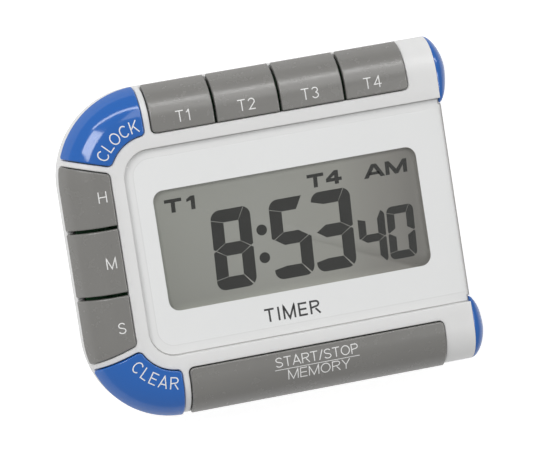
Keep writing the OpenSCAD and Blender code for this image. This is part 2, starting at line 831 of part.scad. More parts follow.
front_cover();
rear_cover();
display_lens();
battery_door();
end_cap_upper();
end_cap_lower();
stand();
magnets();
casing_screws();
board_screws();
button_t(0);  // button_t1
button_t(1);  // button_t2
button_t(2);  // button_t3
button_t(3);  // button_t4
button_hour();
button_minute();
button_second();
button_start_stop();
button_clock();
button_clear();
dome_t(0);  // dome_t1
dome_t(1);  // dome_t2
dome_t(2);  // dome_t3
dome_t(3);  // dome_t4
dome_hour();
dome_minute();
dome_second();
dome_start_stop();
dome_clock();
dome_clear();
circuit_board();
main_chip();
quartz_crystal();
chip_parts();
lcd_glass();
lcd_reflector();
lcd_frame();
zebra_strip();
buzzer_disc();
buzzer_ceramic();
buzzer_wires();
battery();
battery_spring();
battery_plate();
battery_wires();
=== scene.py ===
"""Kitchen timer with a clock display, lying on its back.

The origin is the CAD frame's: x runs right, y towards the upper long side, z out of the display.
A half-round frame carries the keys round the upper, left and lower sides of a flat panel; two
end caps close it on the right. Lengths are in mm and become metres when a mesh is made.
"""

import math

import bmesh
import bpy
import numpy as np
from mathutils import Matrix, Vector
from mathutils.geometry import delaunay_2d_cdt


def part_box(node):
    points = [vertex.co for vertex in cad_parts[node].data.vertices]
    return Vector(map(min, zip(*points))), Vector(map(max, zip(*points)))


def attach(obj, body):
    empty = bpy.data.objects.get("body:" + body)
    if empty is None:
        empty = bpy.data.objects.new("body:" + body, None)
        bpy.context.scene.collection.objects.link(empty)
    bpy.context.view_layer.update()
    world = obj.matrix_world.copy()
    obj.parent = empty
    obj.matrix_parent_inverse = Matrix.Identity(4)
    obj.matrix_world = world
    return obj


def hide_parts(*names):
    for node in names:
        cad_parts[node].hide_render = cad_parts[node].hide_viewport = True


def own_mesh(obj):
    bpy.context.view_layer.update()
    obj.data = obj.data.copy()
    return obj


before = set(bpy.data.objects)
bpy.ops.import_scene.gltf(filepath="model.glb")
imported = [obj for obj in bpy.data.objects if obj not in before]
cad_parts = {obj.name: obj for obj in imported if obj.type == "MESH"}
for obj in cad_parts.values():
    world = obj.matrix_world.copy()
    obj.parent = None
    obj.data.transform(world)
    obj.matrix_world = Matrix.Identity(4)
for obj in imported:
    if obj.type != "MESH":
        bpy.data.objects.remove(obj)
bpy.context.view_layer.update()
MM = 1000.0


def box_mm(node):
    low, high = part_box(node)
    return np.array(low) * MM, np.array(high) * MM


# ---------------------------------------------------------------- sizes
CASE_LOW, CASE_HIGH = box_mm("front_cover")
X_LEFT = CASE_LOW[0]
X_RIGHT, Y_OUT, Z_FRONT = CASE_HIGH
CAP_LOW, CAP_HIGH = box_mm("end_cap_upper")
X_CAP = CAP_LOW[0] + 2.6  # plane where the frame meets the end caps
CAP_DEPTH = CAP_HIGH[0] - X_CAP
LENS_LOW, LENS_HIGH = box_mm("display_lens")
Z_PANEL, Z_LENS = LENS_LOW[2], LENS_HIGH[2]
KEY_T1, KEY_T4 = box_mm("button_t1"), box_mm("button_t4")
ROW_START, ROW_END = KEY_T1[0][0], KEY_T4[1][0]
Z_KEY = KEY_T1[1][2]
PROUD = Z_KEY - Z_FRONT  # keys stand out of the frame by this

# section of the frame, measured out from the crease where it meets the panel
FRAME_W = 13.5
FRONT_R, BACK_R = 8.0, 10.0
FLAT_W = FRAME_W - FRONT_R
BACK_CENTRE = FRAME_W - BACK_R
FRONT_ARC = FRONT_R * math.pi / 2
Z_ARC = Z_FRONT - FRONT_R  # centre height of both arcs
WALL = 1.6

# plan of the frame
CORNER_R = 19.5
CREASE_R = CORNER_R - FRAME_W
X_CREASE, Y_CREASE = X_LEFT + FRAME_W, Y_OUT - FRAME_W
CORNER_X, CORNER_Y = X_LEFT + CORNER_R, Y_OUT - CORNER_R
CAP_OVER = 1.1  # the end caps reach this far in past the crease
SIDE_Y = Y_CREASE - CAP_OVER - 0.15  # half length of the right wall between the caps

# joint line between the front and rear covers
Z_JOINT = 8.0
JOINT_ACROSS = BACK_CENTRE + math.sqrt(BACK_R**2 - (Z_ARC - Z_JOINT) ** 2)
JOINT_ALONG = FLAT_W + FRONT_R * math.pi / 2 + BACK_R * math.asin((Z_ARC - Z_JOINT) / BACK_R)

# path round the frame: from the upper cap leftwards, down the left side, back to the lower cap
PATH_R = 13.0
STRAIGHT = X_CAP - CORNER_X
TURN = PATH_R * math.pi / 2
LEFT_SIDE = 2 * CORNER_Y
PATH = 2 * STRAIGHT + 2 * TURN + LEFT_SIDE
PATH_ENDS = [
    STRAIGHT,
    STRAIGHT + TURN,
    STRAIGHT + TURN + LEFT_SIDE,
    STRAIGHT + 2 * TURN + LEFT_SIDE,
]

# keys
KEY_START = 3.2  # inner edge of the keys, from the crease
Z_KEY_LOW = Z_ARC + 2.6
TRAVEL = 0.6
GAP = 0.2
SPLIT, SIDE_SPLIT = 0.6, 0.75  # between the keys of the upper row and of the left side
KEY_LENGTH = (ROW_END - ROW_START - 3 * SPLIT) / 4
SIDE_PITCH = 14.7
SLANT = math.radians(180 - 17) - math.pi / 2  # turn from +y to the split in a corner
SLANT_SIDE, SLANT_CORNER = 0.72, 1.0  # key ends stand off that line by these
POST_OUT = 6.5  # plunger posts, from the crease

# display window
WINDOW_X = X_LEFT + 49.25
HALF_X, HALF_Y, WINDOW_R = 30.0, 13.3, 2.4
PANEL_STEPS = (40, 30)
Z_GLASS = box_mm("lcd_glass")[1][2]
Z_LCD = Z_GLASS + 0.12


# ---------------------------------------------------------------- mapping onto the frame
def section(along, lift):
    """Distance out from the crease and height, at a length along the surface and a lift off it."""
    along, lift = np.broadcast_arrays(np.asarray(along, float), np.asarray(lift, float))
    front = (along - FLAT_W) / FRONT_R
    back = (along - FLAT_W - FRONT_ARC) / BACK_R
    zones = [along <= FLAT_W, along <= FLAT_W + FRONT_ARC]
    across = np.select(
        zones,
        [along, FLAT_W + (FRONT_R + lift) * np.sin(front)],
        BACK_CENTRE + (BACK_R + lift) * np.cos(back),
    )
    z = np.select(
        zones,
        [Z_FRONT + lift, Z_ARC + (FRONT_R + lift) * np.cos(front)],
        Z_ARC - (BACK_R + lift) * np.sin(back),
    )
    return across, z


def place(path, across, z):
    """Point at a length on the path, a distance out from the crease and a height."""
    path, across, z = np.broadcast_arrays(*(np.asarray(v, float) for v in (path, across, z)))
    upper = math.pi / 2 + (path - PATH_ENDS[0]) / PATH_R
    lower = math.pi + (path - PATH_ENDS[2]) / PATH_R
    radius = CREASE_R + across
    zones = [path <= end for end in PATH_ENDS]
    x = np.select(
        zones,
        [
            X_CAP - path,
            CORNER_X + radius * np.cos(upper),
            X_CREASE - across,
            CORNER_X + radius * np.cos(lower),
        ],
        CORNER_X + (path - PATH_ENDS[3]),
    )
    y = np.select(
        zones,
        [
            Y_CREASE + across,
            CORNER_Y + radius * np.sin(upper),
            CORNER_Y - (path - PATH_ENDS[1]),
            -CORNER_Y + radius * np.sin(lower),
        ],
        -Y_CREASE - across,
    )
    return np.stack([x, y, z], axis=-1)


def on_frame(path, along, lift):
    return place(path, *section(along, lift))


def along_at(z, radius=FRONT_R):
    """Length along the surface at a height on the front arc."""
    return FLAT_W + FRONT_R * math.acos((z - Z_ARC) / radius)


# ---------------------------------------------------------------- mesh helpers
class Solid:
    """Gathers the points and faces of one piece."""

    def __init__(self):
        self.points, self.faces, self.count = [], [], 0

    def add(self, points):
        points = np.asarray(points, float).reshape(-1, 3)
        first = self.count
        self.points.append(points)
        self.count += len(points)
        return list(range(first, self.count))

    def band(self, a, b, closed=True):
        n = len(a)
        for i in range(n if closed else n - 1):
            j = (i + 1) % n
            self.faces.append((a[i], a[j], b[j], b[i]))

    def cap(self, ring):
        self.faces.append(tuple(ring))

    def loft(self, loops, start=None):
        """Bands through closed loops, from an existing ring if one is given."""
        rings = [start] if start else []
        rings += [self.add(loop) for loop in loops]
        for a, b in zip(rings, rings[1:]):
            self.band(a, b)
        return rings

    def bar(self, rows, capped=True):
        """Bar with one row of points on each of its long edges."""
        rows = [self.add(row) for row in rows]
        for a, b in zip(rows, rows[1:] + rows[:1]):
            self.band(a, b, closed=False)
        if capped:
            self.cap([row[0] for row in rows])
            self.cap([row[-1] for row in rows][::-1])

    def fan(self, ring, tip):
        centre = self.add([tip])[0]
        for a, b in zip(ring, ring[1:] + ring[:1]):
            self.cap((a, b, centre))

    def plate(self, outer, inner, low, high):
        """Flat plate with a hole; both loops have the same number of points."""
        outer_top, inner_top = self.add(level(outer, high)), self.add(level(inner, high))
        outer_low, inner_low = self.add(level(outer, low)), self.add(level(inner, low))
        self.band(outer_top, inner_top)
        self.band(outer_low, inner_low)
        self.band(outer_top, outer_low)
        self.band(inner_top, inner_low)

    def lathe(self, x, y, profile, count, base=0.0):
        """Body turned about z from (radius, height) pairs; an end may have radius 0."""
        rings = []
        turn = np.arange(count) * 2 * math.pi / count
        for radius, z in profile:
            ring = np.c_[x + radius * np.cos(turn), y + radius * np.sin(turn)]
            ring = level(ring, base + z)
            rings.append(self.add(ring) if radius else self.add(ring[:1]) * count)
        for a, b in zip(rings, rings[1:]):
            for i in range(count):
                j = (i + 1) % count
                self.cap(dict.fromkeys((a[i], a[j], b[j], b[i])))
        for end in (rings[0], rings[-1]):
            if end[0] != end[1]:
                self.cap(end)


def level(loop, z):
    return np.c_[loop, np.full(len(loop), z)]


def make(name, solid, material, body="case", replaces=None, angle=40, weld=1e-6):
    """Object from a solid; angle is the sharp-edge limit in degrees, weld is in metres."""
    mesh = bpy.data.meshes.new(name)
    bm = bmesh.new()
    points = [bm.verts.new(Vector(p) / MM) for p in np.concatenate(solid.points)]
    for face in solid.faces:
        try:
            bm.faces.new([points[i] for i in face])
        except ValueError:
            pass  # a face over the same points is there already
    bmesh.ops.remove_doubles(bm, verts=bm.verts, dist=weld)
    loose = [v for v in bm.verts if not v.link_faces]
    if loose:
        bmesh.ops.delete(bm, geom=loose, context="VERTS")
    bmesh.ops.dissolve_degenerate(bm, edges=bm.edges, dist=1e-8)
    bmesh.ops.recalc_face_normals(bm, faces=bm.faces)
    bm.to_mesh(mesh)
    bm.free()
    mesh.materials.append(material)
    mesh.polygons.foreach_set("use_smooth", [True] * len(mesh.polygons))
    mesh.set_sharp_from_angle(angle=math.radians(angle))
    ob = bpy.data.objects.new(name, mesh)
    bpy.context.scene.collection.objects.link(ob)
    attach(ob, body)
    if replaces:
        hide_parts(replaces)
    return ob


def arc_points(cx, cy, rx, ry, start, stop, count=14):
    turns = [math.radians(a) for a in np.linspace(start, stop, count)]
    return [(cx + rx * math.cos(t), cy + ry * math.sin(t)) for t in turns]


def round_box(x0, x1, half_y, left_r, right_r, corner, steps):
    """Closed loop of a rectangle with round corners; steps are those of the x and y sides."""
    corners = [
        (x0 + left_r, -half_y + left_r, left_r, 180),
        (x1 - right_r, -half_y + right_r, right_r, 270),
        (x1 - right_r, half_y - right_r, right_r, 0),
        (x0 + left_r, half_y - left_r, left_r, 90),
    ]
    arcs = [arc_points(x, y, r, r, a, a + 90, corner + 1) for x, y, r, a in corners]
    out = []
    for i, arc in enumerate(arcs):
        out += arc
        a, b = arc[-1], arcs[(i + 1) % 4][0]
        count = steps[i % 2]
        for k in range(1, count):
            out.append((a[0] + (b[0] - a[0]) * k / count, a[1] + (b[1] - a[1]) * k / count))
    return np.array(out)


def window_loop(margin):
    r = WINDOW_R + margin
    x = HALF_X + margin
    return round_box(WINDOW_X - x, WINDOW_X + x, HALF_Y + margin, r, r, 8, PANEL_STEPS)


def panel_loop(gap, right_gap, corner):
    """Outline of the panel inset by a gap; its right edge steps out between the end caps."""
    left_r = CREASE_R - gap
    x0, x1 = X_CREASE + gap, X_CAP - right_gap
    loop = round_box(x0, x1, Y_CREASE - gap, left_r, 0.2, corner, PANEL_STEPS)
    edge = np.where(loop[:, 0] > loop[:, 0].max() - 1e-6)[0]
    y = SIDE_Y - gap
    loop[edge[1], 1] = loop[edge[2], 1] = -y
    loop[edge[-2], 1] = loop[edge[-3], 1] = y
    loop[edge[2:-2], 0] += X_RIGHT - X_CAP
    return loop


# ---------------------------------------------------------------- key patches on the frame
class Region:
    """Patch of the frame between two path ends (low, high) and two lines (near, far) along it.

    low and high give the path length at a distance inside the end. radii holds the corner
    radii at low and high, first on the near line and then on the far one.
    """

    def __init__(self, low, high, near, far, near_radii, far_radii):
        self.low, self.high, self.near, self.far = low, high, near, far
        self.radii = (near_radii, far_radii)

    def sides(self, inset, steps, corner):
        """Near, high, far and low sides as (path, along) rows, from mid corner to mid corner."""
        ends = (self.low, self.high)

        def arc(end, line, start, stop):
            turn = np.radians(np.linspace(start, stop, corner + 1))
            radius = max(self.radii[line][end] - inset, 0.03)
            step = inset + radius * (1 - np.cos(turn))
            along = self.far - step if line else self.near + step
            return np.array([ends[end](inset + radius * (1 - np.sin(turn)), along), along])

        def along_line(line):
            first, last = arc(0, line, 45, 0), arc(1, line, 0, 45)
            t = np.linspace(0, 1, steps[0] + 1)[1:-1]
            path = first[0, -1] + (last[0, 0] - first[0, -1]) * t
            return np.hstack([first, [path, first[1, -1] + 0 * t], last])

        def along_end(end):
            first, last = arc(end, 0, 45, 90), arc(end, 1, 90, 45)
            t = np.linspace(0, 1, steps[1] + 1)[1:-1]
            along = first[1, -1] + (last[1, 0] - first[1, -1]) * t
            return np.hstack([first, [ends[end](inset, along), along], last])

        return along_line(0), along_end(1), along_line(1), along_end(0)

    def loop(self, inset, steps, corner):
        near, high, far, low = self.sides(inset, steps, corner)
        return np.hstack([near[:, :-1], high[:, :-1], far[:, :0:-1], low[:, :0:-1]])

    def grid(self, inset, steps, corner):
        """Path and along values of a filled grid whose border is the loop."""
        sides = self.sides(inset, steps, corner)
        u = np.linspace(0, 1, sides[0].shape[1])[:, None]
        v = np.linspace(0, 1, sides[1].shape[1])[None, :]
        out = []
        for k in (0, 1):
            near, high, far, low = (side[k] for side in sides)
            blend = (1 - v) * near[:, None] + v * far[:, None]
            blend = blend + (1 - u) * low[None, :] + u * high[None, :]
            corners = (1 - u) * (1 - v) * near[0] + u * (1 - v) * near[-1]
            out.append(blend - (corners + (1 - u) * v * far[0] + u * v * far[-1]))
        return out

    def mirrored(self):
        """The same patch on the other side of y = 0."""
        return Region(
            lambda d, a: PATH - self.high(d, a),
            lambda d, a: PATH - self.low(d, a),
            self.near,
            self.far,
            *(pair[::-1] for pair in self.radii),
        )


def straight(start, sign):
    return lambda d, a: start + sign * d + 0 * np.asarray(a, float)


def key_radius(along):
    return CREASE_R + section(along, PROUD)[0]


def slanted(offset, sign):
    """Path end along a line parallel to the corner split, moved sideways by offset + d."""

    def end(d, a):
        off = np.asarray(offset + d, float)
        return STRAIGHT + PATH_R * (SLANT + sign * np.arcsin(np.clip(off / key_radius(a), -0.99, 0.99)))

    return end


def clock_start(d, a):
    """Upright end of the clock key, 0.2 left of the corner's centre."""
    off = np.asarray(d, float) - (CLOCK_X - CORNER_X)
    bent = STRAIGHT + PATH_R * np.arcsin(np.clip(off / key_radius(a), 0, 0.99))
    return np.where(off < 0, STRAIGHT + off, bent)


def path_at(y):
    """Path length at a height y on the left side."""
    return STRAIGHT + TURN + CORNER_Y - y


CLOCK_X = CORNER_X - 0.2
KEY_ALONG = along_at(Z_KEY_LOW, FRONT_R + PROUD)
RIM_ALONG = along_at(Z_KEY_LOW - TRAVEL - 0.2)
KEY_LINES = (KEY_START, KEY_ALONG)
SMALL = (0.25, 0.25)
MINUTE_Y = SIDE_PITCH / 2 - SIDE_SPLIT / 2
HOUR_Y = SIDE_PITCH / 2 + SIDE_SPLIT / 2
side_start = slanted(SLANT_SIDE, 1)
ROW_ENDS = (straight(X_CAP - ROW_END, 1), straight(X_CAP - ROW_START, -1))
MINUTE_ENDS = (straight(path_at(MINUTE_Y), 1), straight(path_at(-MINUTE_Y), -1))
upper_row = Region(*ROW_ENDS, *KEY_LINES, (1.0, 1.0), SMALL)
clock_region = Region(clock_start, slanted(SLANT_CORNER, -1), *KEY_LINES, (0.9, 0.9), (0.6, 0.6))
side_group = Region(
    side_start, lambda d, a: PATH - side_start(d, a), *KEY_LINES, (1.0, 1.0), (0.6, 0.6)
)
hour_region = Region(side_start, straight(path_at(HOUR_Y), -1), *KEY_LINES, (1.0, 0.25), (0.6, 0.25))
minute_region = Region(*MINUTE_ENDS, *KEY_LINES, SMALL, SMALL)
clear_region = clock_region.mirrored()
lower_row = upper_row.mirrored()


# ---------------------------------------------------------------- materials
class Net:
    """Node tree of one material."""

    def __init__(self, name):
        self.material = bpy.data.materials.new(name)
        self.material.use_nodes = True
        self.tree = self.material.node_tree
        self.tree.nodes.clear()
        self.output = self.new("OutputMaterial")
        self.object_space = None

    def new(self, kind, **settings):
        """Adds a node: _x sets a property, i0 an input by its number, Base_Color by its name."""
        node = self.tree.nodes.new("ShaderNode" + kind)
        for key, value in settings.items():
            if key.startswith("_"):
                setattr(node, key[1:], value)
                continue
            numbered = key[0] == "i" and key[1:].isdigit()
            socket = node.inputs[int(key[1:]) if numbered else key.replace("_", " ")]
            if isinstance(value, bpy.types.NodeSocket):
                self.tree.links.new(value, socket)
            elif socket.type == "RGBA" and len(value) == 3:
                socket.default_value = (*value, 1)
            else:
                socket.default_value = value
        return node

    def coords(self):
        if self.object_space is None:
            self.object_space = self.new("TexCoord").outputs["Object"]
        return self.object_space

    def noise(self, scale, detail=3.0, rough=0.5, stretch=None):
        vector = self.coords()
        if stretch:
            vector = self.new("Mapping", Vector=vector, Scale=stretch).outputs[0]
        node = self.new("TexNoise", Vector=vector, Scale=scale, Detail=detail, Roughness=rough)
        return node.outputs["Fac"]

    def ramp(self, value, stops):
        ramp = self.new("ValToRGB", Fac=value)
        elements = ramp.color_ramp.elements
        while len(elements) < len(stops):
            elements.new(0.5)
        for element, (position, colour) in zip(elements, stops):
            element.position = position
            element.color = (*colour, 1)
        return ramp.outputs["Color"]

    def remap(self, value, over=(0.0, 1.0), to=(0.0, 1.0)):
        node = self.new(
            "MapRange", Value=value,
            From_Min=over[0], From_Max=over[1], To_Min=to[0], To_Max=to[1],
        )
        return node.outputs["Result"]

    def mix(self, factor, a, b, mode="MIX"):
        node = self.new("Mix", _data_type="RGBA", _blend_type=mode, i0=factor, i6=a, i7=b)
        return node.outputs[2]

    def calc(self, operation, *values):
        inputs = {f"i{k}": value for k, value in enumerate(values)}
        return self.new("Math", _operation=operation, **inputs).outputs[0]

    def bump(self, height, strength, distance):
        node = self.new("Bump", Height=height, Strength=strength, Distance=distance)
        return node.outputs["Normal"]

    def finish(self, shader):
        self.tree.links.new(shader.outputs[0], self.output.inputs["Surface"])
        return self.material


MIDDLE = (0.3, 0.7)  # range that most noise values fall in


def plastic(name, base, rough=0.35, grain=0.0035, grain_size=0.16, drift=0.03, spec=0.5, wear=0.06):
    """Moulded plastic: fine grain (depth and size in mm), slow colour drift, uneven gloss
    and paler edges where wear is not 0."""
    net = Net(name)
    slow = net.noise(scale=55.0, detail=3.0, rough=0.55)
    mid = net.noise(scale=420.0, detail=4.0, rough=0.6)
    fine = net.noise(scale=1000.0 / grain_size, detail=2.0)
    base = np.array(base)
    lighter = tuple(np.clip(base * (1 + drift), 0, 1))
    colour = net.mix(net.remap(slow, over=MIDDLE), tuple(base * (1 - drift)), lighter)
    patchy = net.remap(mid, over=(0.45, 0.8), to=(0.0, 0.5))
    colour = net.mix(patchy, colour, tuple(np.clip(base * (1 + drift * 0.7), 0, 1)))
    if wear:
        point = net.new("NewGeometry").outputs["Pointiness"]
        edge = net.remap(point, over=(0.52, 0.60), to=(0.0, wear))
        colour = net.mix(edge, colour, tuple(np.clip(base * 1.25 + 0.04, 0, 1)))
    roughness = net.remap(mid, over=MIDDLE, to=(rough * 0.85, rough * 1.18))
    height = net.calc("ADD", fine, net.remap(mid, to=(0.0, 0.8)))
    return net.finish(net.new(
        "BsdfPrincipled", Base_Color=colour, Roughness=roughness,
        Normal=net.bump(height, strength=0.25, distance=grain / MM),
        Specular_IOR_Level=spec, Coat_Roughness=0.08,
    ))


def metal(name, base, rough=0.3, brushed=None, grime=0.15):
    """Metal with darker grimy patches; brushed stretches its fine grain."""
    net = Net(name)
    slow = net.noise(scale=160.0, detail=4.0, rough=0.6)
    fine = net.noise(scale=2500.0, detail=3.0, rough=0.6, stretch=brushed)
    base = np.array(base)
    drift = 0.06
    lighter = tuple(base * (1 + drift * 0.4))
    colour = net.mix(net.remap(slow, over=MIDDLE), tuple(base * (1 - drift)), lighter)
    dirt = net.remap(slow, over=(0.55, 0.8), to=(0.0, grime))
    colour = net.mix(dirt, colour, tuple(base * 0.55))
    roughness = net.remap(fine, over=MIDDLE, to=(rough * 0.75, rough * 1.3))
    return net.finish(net.new(
        "BsdfPrincipled", Base_Color=colour, Roughness=roughness, Metallic=1.0,
        Normal=net.bump(fine, strength=0.2, distance=0.004 / MM),
    ))


PRINT = dict(rough=0.5, grain=0.001, wear=0.0)
WHITE = plastic(
    "white_shell", (0.765, 0.765, 0.76), rough=0.42, drift=0.012, wear=0.10, grain=0.003
)
GREY = plastic(
    "grey_key", (0.206, 0.202, 0.191), rough=0.25, drift=0.02, grain=0.0004, wear=0.0, spec=0.62
)
BLUE = plastic(
    "blue_plastic", (0.006, 0.117, 0.465), rough=0.10, grain=0.0008, wear=0.0, spec=0.72
)
BORDER = plastic("printed_border", (0.860, 0.860, 0.860), drift=0.008, spec=0.2, **PRINT)
# painted shadow: grey of the gap line round the lens
GAP_SHADOW_GREY = plastic("lens_gap_painted_shadow", (0.42, 0.41, 0.40), spec=0.3, **PRINT)
# painted shade: darker band and line under the lens bevel
BEVEL_PAINTED_SHADE = plastic("lens_bevel_painted_shade", (0.828, 0.828, 0.825), drift=0.01, spec=0.2, **PRINT)
BEVEL_PAINTED_SHADE_LINE = plastic("lens_bevel_painted_shade_line", (0.775, 0.775, 0.77), drift=0.01, spec=0.2, **PRINT)
LEGEND = plastic(
    "white_ink", (0.82, 0.82, 0.81), rough=0.5, grain=0.002, grain_size=0.08, wear=0.0
)
BLACK_INK = plastic(
    "black_ink", (0.022, 0.022, 0.024), rough=0.45, drift=0.05, grain=0.001, wear=0.0
)
FRAME = plastic("frame_plastic", (0.7, 0.7, 0.68), rough=0.5)
RUBBER = plastic(
    "dome_rubber", (0.035, 0.035, 0.038),
    rough=0.62, drift=0.08, grain=0.006, grain_size=0.1, spec=0.35,
)
ZEBRA = plastic("zebra_rubber", (0.42, 0.27, 0.29), rough=0.7, drift=0.08, spec=0.3)
STEEL = metal("screw_steel", (0.60, 0.60, 0.61), rough=0.32)
NICKEL = metal("nickel", (0.66, 0.65, 0.62), rough=0.22, grime=0.08)
SPRING = metal("spring_steel", (0.62, 0.61, 0.58), rough=0.25, brushed=(1, 6, 1))
BRASS = metal("brass", (0.72, 0.52, 0.22), rough=0.28, brushed=(8, 1, 1), grime=0.2)
RESIN = plastic(
    "black_resin", (0.012, 0.012, 0.013), rough=0.18, drift=0.1, grain=0.004, grain_size=0.6
)
PIEZO = plastic("piezo_ceramic", (0.66, 0.64, 0.58), drift=0.05, grain=0.004)
CHIP = plastic(
    "chip_ceramic", (0.12, 0.095, 0.075), rough=0.4, drift=0.15, grain=0.004, grain_size=0.3
)
WIRE = plastic("wire_skin", (0.35, 0.02, 0.02), rough=0.4, drift=0.06)


def board_material():
    """Green solder mask with a fine rectangular pattern of tracks showing through."""
    net = Net("board")
    cells = net.new("Mapping", Vector=net.coords(), Scale=(620, 620, 620)).outputs[0]
    tracks = net.new(
        "TexBrick", Vector=cells, Scale=1.0, Mortar_Size=0.09,
        Color1=(0.035, 0.20, 0.09), Color2=(0.030, 0.17, 0.075), Mortar=(0.09, 0.33, 0.13),
    )
    shade = net.remap(net.noise(scale=90, detail=3), over=(0.35, 0.7), to=(0.0, 0.6))
    colour = net.mix(shade, tracks.outputs["Color"], (0.03, 0.16, 0.07))
    return net.finish(net.new(
        "BsdfPrincipled", Base_Color=colour, Roughness=0.3, Coat_Weight=0.4,
        Normal=net.bump(tracks.outputs["Fac"], strength=0.3, distance=0.00003),
    ))


BOARD = board_material()


def cell_material():
    """Round cell along x: dark printed sleeve, a gold band and metal ends."""
    net = Net("cell_sleeve")
    axes = net.new("SeparateXYZ", Vector=net.coords())
    low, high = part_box("battery")
    t = net.remap(axes.outputs["X"], over=(low[0], high[0]))
    colour = net.ramp(t, [
        (0.0, (0.6, 0.6, 0.58)),
        (0.018, (0.6, 0.6, 0.58)),
        (0.02, (0.03, 0.10, 0.075)),
        (0.70, (0.035, 0.12, 0.09)),
        (0.705, (0.55, 0.42, 0.18)),
        (0.96, (0.60, 0.46, 0.2)),
    ])
    left_end = net.calc("LESS_THAN", t, 0.018)
    right_end = net.calc("GREATER_THAN", t, 0.972)
    metallic = net.calc("ADD", left_end, right_end)
    colour = net.mix(right_end, colour, (0.62, 0.6, 0.56))
    fine = net.noise(scale=900, detail=3)
    return net.finish(net.new(
        "BsdfPrincipled", Base_Color=colour, Metallic=metallic,
        Roughness=net.remap(fine, over=MIDDLE, to=(0.22, 0.38)),
        Normal=net.bump(fine, strength=0.15, distance=0.00001),
    ))


CELL = cell_material()


def lcd_material():
    """Polariser over the grey reflector, with painted shade: darker to the right and the lower edge."""
    net = Net("lcd_polariser")
    axes = net.new("SeparateXYZ", Vector=net.coords())
    span_x = ((WINDOW_X - HALF_X) / MM, (WINDOW_X + HALF_X) / MM)
    x = net.remap(axes.outputs["X"], over=span_x)
    y = net.remap(axes.outputs["Y"], over=(-HALF_Y / MM, HALF_Y / MM))
    tilt = -0.06  # how much y adds to the slope of the shading along x
    colour = net.ramp(net.calc("MULTIPLY_ADD", y, tilt, x), [
        (0.0, (0.300, 0.303, 0.275)),
        (0.35, (0.315, 0.317, 0.290)),
        (0.65, (0.300, 0.298, 0.270)),
        (0.85, (0.222, 0.214, 0.196)),
        (1.0, (0.172, 0.166, 0.153)),
    ])
    streak = net.noise(scale=120.0, stretch=(1.0, 0.12, 1.0))
    amount = net.remap(streak, over=(0.4, 0.7), to=(0.0, 0.12))
    colour = net.mix(amount, colour, (0.31, 0.31, 0.285))
    fine = net.noise(scale=5200.0, detail=2.0)
    amount = net.remap(fine, over=(0.4, 0.7), to=(0.0, 0.10))
    colour = net.mix(amount, colour, (0.20, 0.20, 0.185))
    # painted light, against the shade of the recess wall: paler from 2 mm inside the edge of the window
    # to 0.2 mm past it
    off_x = net.calc("ABSOLUTE", net.calc("SUBTRACT", axes.outputs["X"], WINDOW_X / MM))
    off_y = net.calc("ABSOLUTE", axes.outputs["Y"])
    near_x = net.remap(off_x, over=((HALF_X - 2) / MM, (HALF_X + 0.2) / MM))
    near_y = net.remap(off_y, over=((HALF_Y - 2) / MM, (HALF_Y + 0.2) / MM))
    edge = net.calc("POWER", net.calc("MAXIMUM", near_x, near_y), 2.0)
    amount = net.calc("MULTIPLY", edge, 0.55)
    paler = net.mix(1.0, colour, (1.75, 1.75, 1.75), "MULTIPLY")
    colour = net.mix(amount, colour, paler)
    return net.finish(net.new(
        "BsdfPrincipled", Base_Color=colour, Roughness=0.36, Specular_IOR_Level=0.3,
        Normal=net.bump(fine, strength=0.08, distance=0.000002),
    ))


LCD = lcd_material()


def segment_material():
    net = Net("lcd_segment")
    slow = net.noise(scale=200.0, detail=2.0)
    fine = net.noise(scale=5200.0, detail=2.0)
    amount = net.remap(slow, over=MIDDLE)
    colour = net.mix(amount, (0.019, 0.0195, 0.0175), (0.026, 0.0265, 0.024))
    amount = net.remap(fine, over=(0.4, 0.7), to=(0.0, 0.3))
    colour = net.mix(amount, colour, (0.034, 0.034, 0.031))
    return net.finish(net.new(
        "BsdfPrincipled", Base_Color=colour, Roughness=0.4, Specular_IOR_Level=0.25
    ))


SEGMENT = segment_material()


def clear_material():
    """Clear sheet: light passes, and the outer side mirrors by its angle."""
    net = Net("clear_lens")
    fresnel = net.new("Fresnel", IOR=1.45)
    smear = net.noise(scale=90.0, detail=4.0, rough=0.6)
    roughness = net.remap(smear, over=(0.35, 0.75), to=(0.028, 0.088))
    fine = net.noise(scale=300.0, detail=2.0)
    ripple = net.bump(fine, strength=0.05, distance=0.000004)
    mirror = net.new("BsdfGlossy", Roughness=roughness, Normal=ripple, Color=(0.75, 0.75, 0.75))
    through = net.new("BsdfTransparent", Color=(0.995, 0.997, 0.996))
    ray = net.new("LightPath").outputs
    geometry = net.new("NewGeometry")
    block = net.calc("MAXIMUM", ray["Is Shadow Ray"], ray["Is Diffuse Ray"])
    block = net.calc("MAXIMUM", block, geometry.outputs["Backfacing"])
    keep = net.calc("SUBTRACT", 1.0, block)
    amount = net.calc("MULTIPLY", fresnel.outputs[0], keep)
    return net.finish(net.new(
        "MixShader", Fac=amount, i1=through.outputs[0], i2=mirror.outputs[0]
    ))


CLEAR = clear_material()
GLASS = plastic("lcd_glass", (0.30, 0.31, 0.285), rough=0.12, grain=0.0005, wear=0.0)
FILM = plastic("lcd_film", (0.42, 0.43, 0.40), rough=0.5)


# ---------------------------------------------------------------- front cover
FILLET = 0.26  # round of the key openings
CREASE_ROUND = 0.22
JOINT_CHAMFER = 0.18
Z_PANEL_LOW = Z_PANEL - 1.1
# key group, (steps along the frame, steps across it)
OPENINGS = [
    (upper_row, (90, 30)),
    (lower_row, (90, 30)),
    (side_group, (70, 30)),
    (clock_region, (34, 30)),
    (clear_region, (34, 30)),
]


def in_loop(px, py, x, y):
    """Which points lie inside the closed loop (x, y)."""
    inside = np.zeros(len(px), bool)
    j = len(x) - 1
    for i in range(len(x)):
        slope = (x[j] - x[i]) * (py - y[i]) / (y[j] - y[i] + 1e-30)
        inside ^= ((y[i] > py) != (y[j] > py)) & (px < slope + x[i])
        j = i
    return inside


